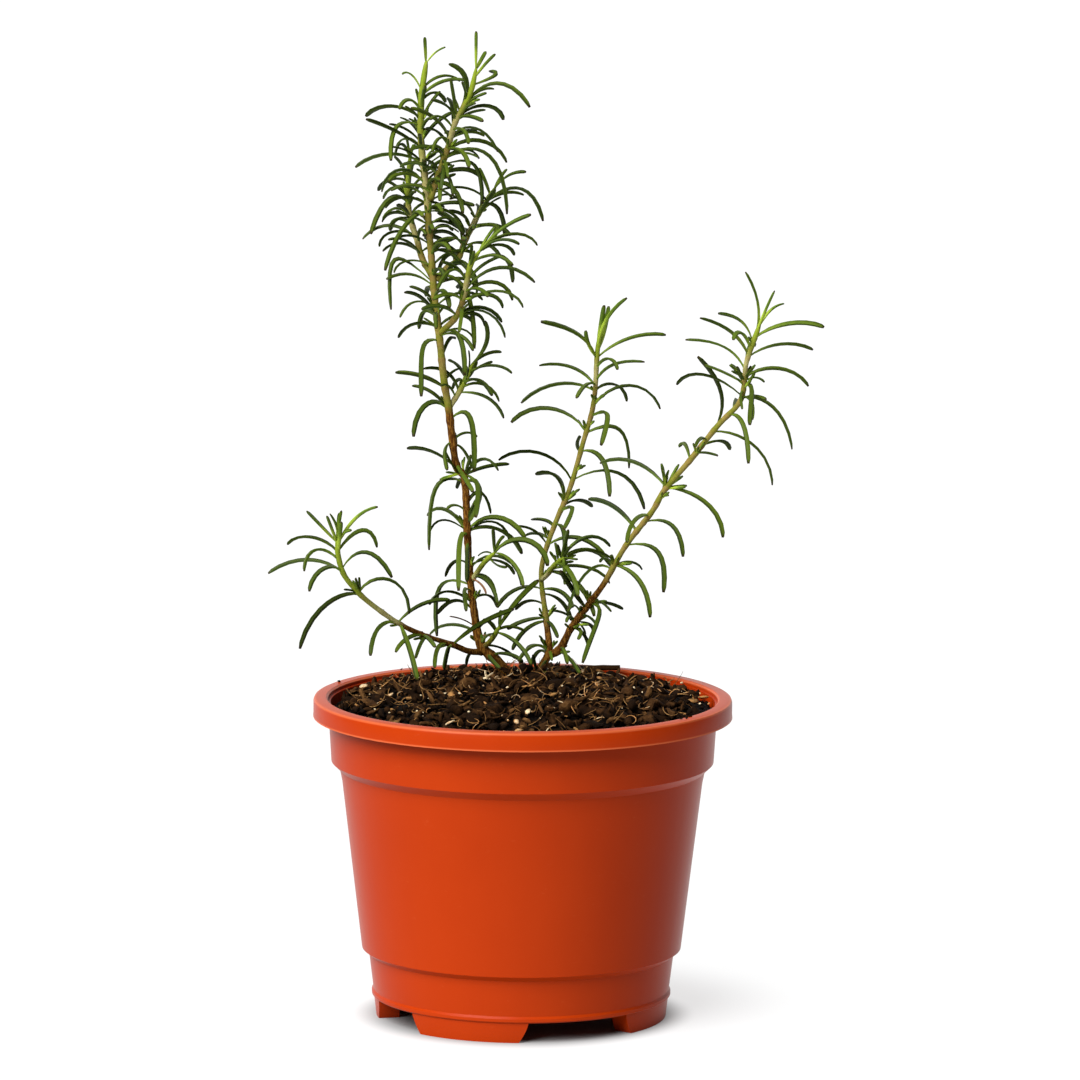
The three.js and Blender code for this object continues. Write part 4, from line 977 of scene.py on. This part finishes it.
bark = Finish(
    bpy.data.materials.new("rosemary_stem"), {"IOR": 1.45, "Specular IOR Level": 0.07},
)
bark_places = bark.places()
since, wood, fresh, close = bark.held("growth")
mottled = bark.grain(bark_places, 700, 4, 0.6)
streaks = bark.grain(bark.stretched((2600, 2600, 260)), 1, 3, 0.6)
ageing = bark.stepped(since + 0.5 * (mottled - 0.5), 0.15, 0.85)
green = bark.blended(mottled, (0.080, 0.098, 0.006), (0.190, 0.192, 0.020))
tan = bark.blended(mottled, (0.110, 0.070, 0.010), (0.300, 0.225, 0.070))
downy = bark.blended(mottled, (0.26, 0.25, 0.080), (0.44, 0.40, 0.19))
freshest = bark.blended(mottled, (0.120, 0.185, 0.008), (0.22, 0.285, 0.020))
grown_stem = bark.blended(ageing * 0.75, green, tan)
paling = bark.stepped(fresh, 0, 0.12) * (1 - bark.stepped(fresh, 0.3, 0.55))
pale_stem = bark.blended(paling * 0.7, grown_stem, downy)
young_stem = bark.blended(bark.stepped(fresh, 0.25, 0.8) * 0.9, pale_stem, freshest)
ringed = bark.blended(close * 0.45 * (1 - fresh), young_stem, (0.17, 0.095, 0.028))
peeling = bark.stepped(streaks + 0.4 * (mottled - 0.5), 0.42, 0.66)
old_bark = bark.blended(peeling, (0.060, 0.019, 0.0015), (0.215, 0.098, 0.014))
woodiness = bark.stepped(wood + 0.45 * (mottled - 0.5), 0.15, 0.75)
bark.coloured(bark.blended(woodiness, ringed, old_bark))
bark.roughened(0.46 + 0.26 * woodiness + 0.1 * mottled)
bark.bumped(streaks * (0.4 + wood) + 0.3 * mottled, 0.6, 0.0004)
for name, stems, node in (
    ("tall_rosemary_stems", tall_stems, "tall_rosemary_plant"),
    ("forked_rosemary_stems", forked_stems, "forked_rosemary_plant"),
):
    stems_bm = bmesh.new()
    stems_bm.verts.layers.float_color.new("growth")
    for stem in stems:
        add_part(stems_bm, stem_tube(stem))
    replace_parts(new_piece(name, new_mesh(name, stems_bm), bark), node)

# The leaves. Each is a narrow blade, rolled under at its edges, flat along its top where the real leaf
# has a groove, and with a blunt dark tip. They stand in opposite pairs, rise from the stem, then bend
# over and droop. Small shoots sit where they join the stem, and the stem tips carry young, upright,
# yellower leaves.
LEAF_HALF_WIDTH = 1.22
LEAF_HALF_DEPTH = 0.84
HOOK = 0.8
FULL_WIDTH_LEAF = 20
WITHERED_HALF = (0.5, 0.4)
LEAF_CLEARANCE = 2
CROWN_ALONG = 0.42
LEAF_SECTION = [
    (1.0, 0.05), (0.58, 0.64), (-0.58, 0.64), (-1.0, 0.05), (-0.55, -0.46), (0.55, -0.46),
]
LEAF_UNDER = [0.5, 0.05, 0.05, 0.5, 1, 1]
LEAF_RINGS = [0, 0.11, 0.22, 0.32, 0.41, 0.50, 0.60, 0.72, 0.85, 0.95, 1]
SHOOT_RINGS = [0, 0.2, 0.45, 0.8, 1]
LEAF_OUTLINE = [
    (0, 0.48), (0.08, 0.56), (0.22, 0.82), (0.4, 0.97), (0.6, 1.0), (0.88, 1.02), (0.96, 0.88),
    (1.0, 0.5),
]
SHOOT_OUTLINE = [(0, 0.5), (0.35, 0.9), (0.85, 1.0), (1.0, 0.55)]
OLD_LEAF = 18
LEG_SHARE = 0.53
YOUNG_LISTED, YOUNG_SPRAYED = 30, 32
SPRAY_SHOOTS = 0.35


def width_at(outline, t):
    for (before, narrow), (after, wide) in zip(outline, outline[1:]):
        if t <= after:
            return narrow + (wide - narrow) * (t - before) / (after - before)
    return outline[-1][1]


def blade(name, rings, outline, section):
    """A straight blade along +Z, from its root at 0 to its tip at 1."""
    sides = len(section)
    bm = unit_bar(sides, len(rings) - 2)
    growth = bm.verts.layers.float_color.new("growth")
    for vert in bm.verts:
        corner = round(math.atan2(vert.co.y, vert.co.x) * sides / (2 * math.pi)) % sides
        t = rings[round(vert.co.z * (len(rings) - 1))]
        width = width_at(outline, t)
        across, over = section[corner]
        vert.co = (across * width, over * width, t)
        vert[growth] = (t, 0, 0, LEAF_UNDER[corner * len(LEAF_UNDER) // sides])
    return kept_blank(name, bm)


leaf_blank = blade("leaf", LEAF_RINGS, LEAF_OUTLINE, LEAF_SECTION)
shoot_section = [(math.cos(i * math.pi / 3), math.sin(i * math.pi / 3)) for i in range(6)]
shoot_blank = blade("shoot_leaf", SHOOT_RINGS, SHOOT_OUTLINE, shoot_section)


def add_leaf(bm, blank, line, half, roll, look, hook=0):
    """A blade bent on to a line, from its root past a crown to its tip. A hook turns it down late."""
    root, crown, tip, side = line
    young, tone = look
    growth = bm.verts.layers.float_color["growth"]
    frames = {}
    ahead = tip - crown
    falling = clamped(-ahead.z / ahead.length)
    rising = root.lerp(crown, 2 / 3)
    turning = tip.lerp(crown, 2 / 3) + hook * falling * Vector((ahead.x, ahead.y, 0))

    def frame_at(t):
        s = 1 - t
        heading = (rising - root) * s ** 2 + (turning - rising) * 2 * s * t + (tip - turning) * t ** 2
        heading.normalize()
        flat = (side - heading * heading.dot(side)).normalized()
        flat.rotate(Matrix.Rotation(roll[0] + roll[1] * t, 3, heading))
        centre = root * s ** 3 + rising * (3 * s * s * t) + turning * (3 * s * t * t) + tip * t ** 3
        return centre, flat, flat.cross(heading)

    def placed(place):
        t = round(place.z, 4)
        if t not in frames:
            frames[t] = frame_at(t)
        centre, flat, over = frames[t]
        return centre + flat * (place.x * half[0]) + over * (place.y * half[1])

    for vert in add_copy(bm, blank, placed):
        along, _, _, under = vert[growth]
        vert[growth] = (along, young, tone, under)


def listed_line(stem, place, right, away, up, arch, bow=0, twist=0):
    root = stem.point(place)
    tip = root + Vector((right, away, up))
    crown = root.lerp(tip, CROWN_ALONG) + Vector((2 * bow, 0, 2 * arch))
    side = Vector((right, away, 0)).normalized().cross(UP)
    side.rotate(Matrix.Rotation(math.radians(twist), 3, tip - root))
    return root, crown, tip, side


def spray_line(stem, place, turn, length, rise, bend):
    """A leaf that leaves its stem at a rise and is bent over from it, both in degrees."""
    right, away = stem.across(place)
    heading = stem.heading(place)
    out = right * math.cos(turn) + away * math.sin(turn)
    root = stem.point(place)
    leg = LEG_SHARE * length
    rise, fall = math.radians(rise), math.radians(rise - bend)
    crown = root + out * (leg * math.cos(rise)) + heading * (leg * math.sin(rise))
    tip = crown + out * (leg * math.cos(fall)) + heading * (leg * math.sin(fall))
    return root, crown, tip, out.cross(heading)


def grown_leaf(bm, chance, line, young, withered=False):
    """A leaf with its own draw of width, roll, hook and tone, kept clear of the mix."""
    root, crown, tip, _ = line
    tip.z = max(tip.z, mix_top(tip.x, tip.y) + LEAF_CLEARANCE)
    length = ((crown - root).length + (tip - crown).length + 2 * (tip - root).length) / 3
    size = (0.42 + 0.58 * min(1, length / FULL_WIDTH_LEAF)) * chance.uniform(0.86, 1.12)
    half = (LEAF_HALF_WIDTH * size, LEAF_HALF_DEPTH * size * chance.uniform(0.85, 1.1))
    roll = (chance.uniform(-0.3, 0.3), chance.uniform(-0.5, 0.5))
    hook = HOOK * chance.uniform(0.2, 1)
    if withered:
        half, young = WITHERED_HALF, -1
    add_leaf(bm, leaf_blank, line, half, roll, (young, chance.random()), hook)


def add_shoot(bm, chance, stem, place, turn, leaves, longest):
    """A cluster of tiny leaves in the angle between a stem and a leaf."""
    right, away = stem.across(place)
    heading = stem.heading(place)
    for leaf in range(leaves):
        swung = turn + chance.uniform(-0.9, 0.9)
        out = right * math.cos(swung) + away * math.sin(swung)
        length = longest * chance.uniform(0.5, 1)
        lean = math.radians(chance.uniform(12, 62))
        start = stem.point(place + 0.4 * leaf) + out * (0.7 * stem.radius(place))
        straight = heading * math.cos(lean) + out * math.sin(lean)
        crown = start + straight * (0.55 * length)
        tip = crown + (straight + out * chance.uniform(-0.2, 0.7)).normalized() * (0.45 * length)
        half = 0.40 + 0.045 * length
        look = (chance.uniform(0.55, 1), chance.random())
        line = (start, crown, tip, out.cross(heading))
        add_leaf(bm, shoot_blank, line, (half, 0.7 * half), (0, 0), look)


def add_leaves(bm, chance, stem):
    """All that one stem bears."""
    for place, *listed in stem.leaves:
        line = listed_line(stem, place, *listed)
        steepness = max(0, (line[2] - line[0]).normalized().z)
        near_tip = max(0, 1 - (stem.length - place) / YOUNG_LISTED)
        grown_leaf(bm, chance, line, stem.vigour * near_tip * (0.35 + 0.95 * steepness))
    for place, turn, leaves, longest in stem.shoots:
        add_shoot(bm, chance, stem, place, math.radians(turn), leaves, longest)
    for pair, place in enumerate(stem.pairs):
        young = pair / (len(stem.pairs) - 1)
        for half in (0, 1):
            turn = math.pi / 2 * pair + math.pi * half + chance.uniform(-0.3, 0.3) + 0.25
            length = OLD_LEAF + (stem.spray[1] - OLD_LEAF) * young ** 2.5 + chance.uniform(-3, 2)
            rise = 42 + 34 * young ** 3 + chance.uniform(-11, 11)
            bend = 88 - 66 * young ** 3 + chance.uniform(-18, 18)
            near_tip = max(0, 1 - (stem.length - place) / YOUNG_SPRAYED)
            line = spray_line(stem, place, turn, length, rise, bend)
            grown_leaf(bm, chance, line, stem.vigour * near_tip)
            if chance.random() < SPRAY_SHOOTS and place < stem.length - 8:
                add_shoot(bm, chance, stem, place + 0.6, turn, 2, 5)


leaf_green = Finish(
    bpy.data.materials.new("rosemary_leaf"), {"IOR": 1.42, "Specular IOR Level": 0.09},
)
leaf_places = leaf_green.places()
along, young, tone, under = leaf_green.held("growth")
mottle = leaf_green.grain(leaf_places, 520, 4, 0.6)
pores = leaf_green.grain(leaf_places, 3600, 2, 0.5)
mature = leaf_green.blended(
    tone + 0.5 * (mottle - 0.5), (0.0095, 0.020, 0.0015), (0.058, 0.088, 0.006),
)
fresh = leaf_green.blended(mottle, (0.10, 0.19, 0.012), (0.19, 0.29, 0.027))
ripening = 1 - 0.5 * leaf_green.stepped(along, 0.35, 1)
youth = leaf_green.stepped(young + 0.2 * (mottle - 0.5), 0.08, 0.95) * ripening
upper = leaf_green.blended(youth, mature, fresh)
below = leaf_green.blended(mottle, (0.020, 0.034, 0.005), (0.052, 0.076, 0.014))
sided = leaf_green.blended(leaf_green.stepped(under, 0.55, 0.95) * (1 - 0.7 * young), upper, below)
# The rolled-under margins are painted nearly black: painted shade where the edges turn under.
margin_shaded = leaf_green.blended(
    leaf_green.stepped(under, 0.15, 0.5) * (1 - leaf_green.stepped(under, 0.5, 0.8)) * 0.65,
    sided, (0.007, 0.015, 0.003),
)
# A lighter band along the flat top of older leaves: a painted highlight.
top_sheen_mask = 1 - leaf_green.stepped(under, 0.05, 0.22)
top_sheened = leaf_green.blended(top_sheen_mask * 0.22 * (1 - youth), margin_shaded, (0.105, 0.150, 0.014))
root_green = leaf_green.blended(youth * youth, (0.12, 0.18, 0.018), (0.34, 0.44, 0.042))
rooted = leaf_green.blended(
    (1 - leaf_green.stepped(along - 0.4 * youth, 0.02, 0.36)) * 0.65, top_sheened, root_green,
)
browned = leaf_green.stepped(along + 0.03 * (mottle - 0.5), 0.955, 0.995)
tipped = leaf_green.blended(browned * 0.85, rooted, (0.028, 0.014, 0.006))
withered = leaf_green.stepped(0 - young, 0.3, 0.8)
leaf_green.coloured(leaf_green.blended(withered, tipped, (0.20, 0.095, 0.045)))
leaf_green.roughened(0.40 + 0.16 * mottle + 0.22 * leaf_green.stepped(under, 0.5, 0.9))
leaf_green.bumped(0.7 * mottle + 0.3 * pores, 0.35, 0.0003)

WITHERED = {"trunk": [(50, -8.5, -2, 4, 0.8), (66, 5, -5, -4, 1), (47, 4, -4.5, 1, 0.6)]}
for name, stems, node, seed in (
    ("tall_rosemary_leaves", tall_stems, "tall_rosemary_plant", 21),
    ("forked_rosemary_leaves", forked_stems, "forked_rosemary_plant", 22),
):
    chance = random.Random(seed)
    leaves_bm = bmesh.new()
    leaves_bm.verts.layers.float_color.new("growth")
    for stem in stems:
        add_leaves(leaves_bm, chance, stem)
        for place, *listed in WITHERED.get(stem.name, []):
            line = listed_line(stem, place, *listed)
            grown_leaf(leaves_bm, chance, line, 0, withered=True)
    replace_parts(new_piece(name, new_mesh(name, leaves_bm), leaf_green), node)
for blank in (leaf_blank, shoot_blank):
    bpy.data.meshes.remove(blank)
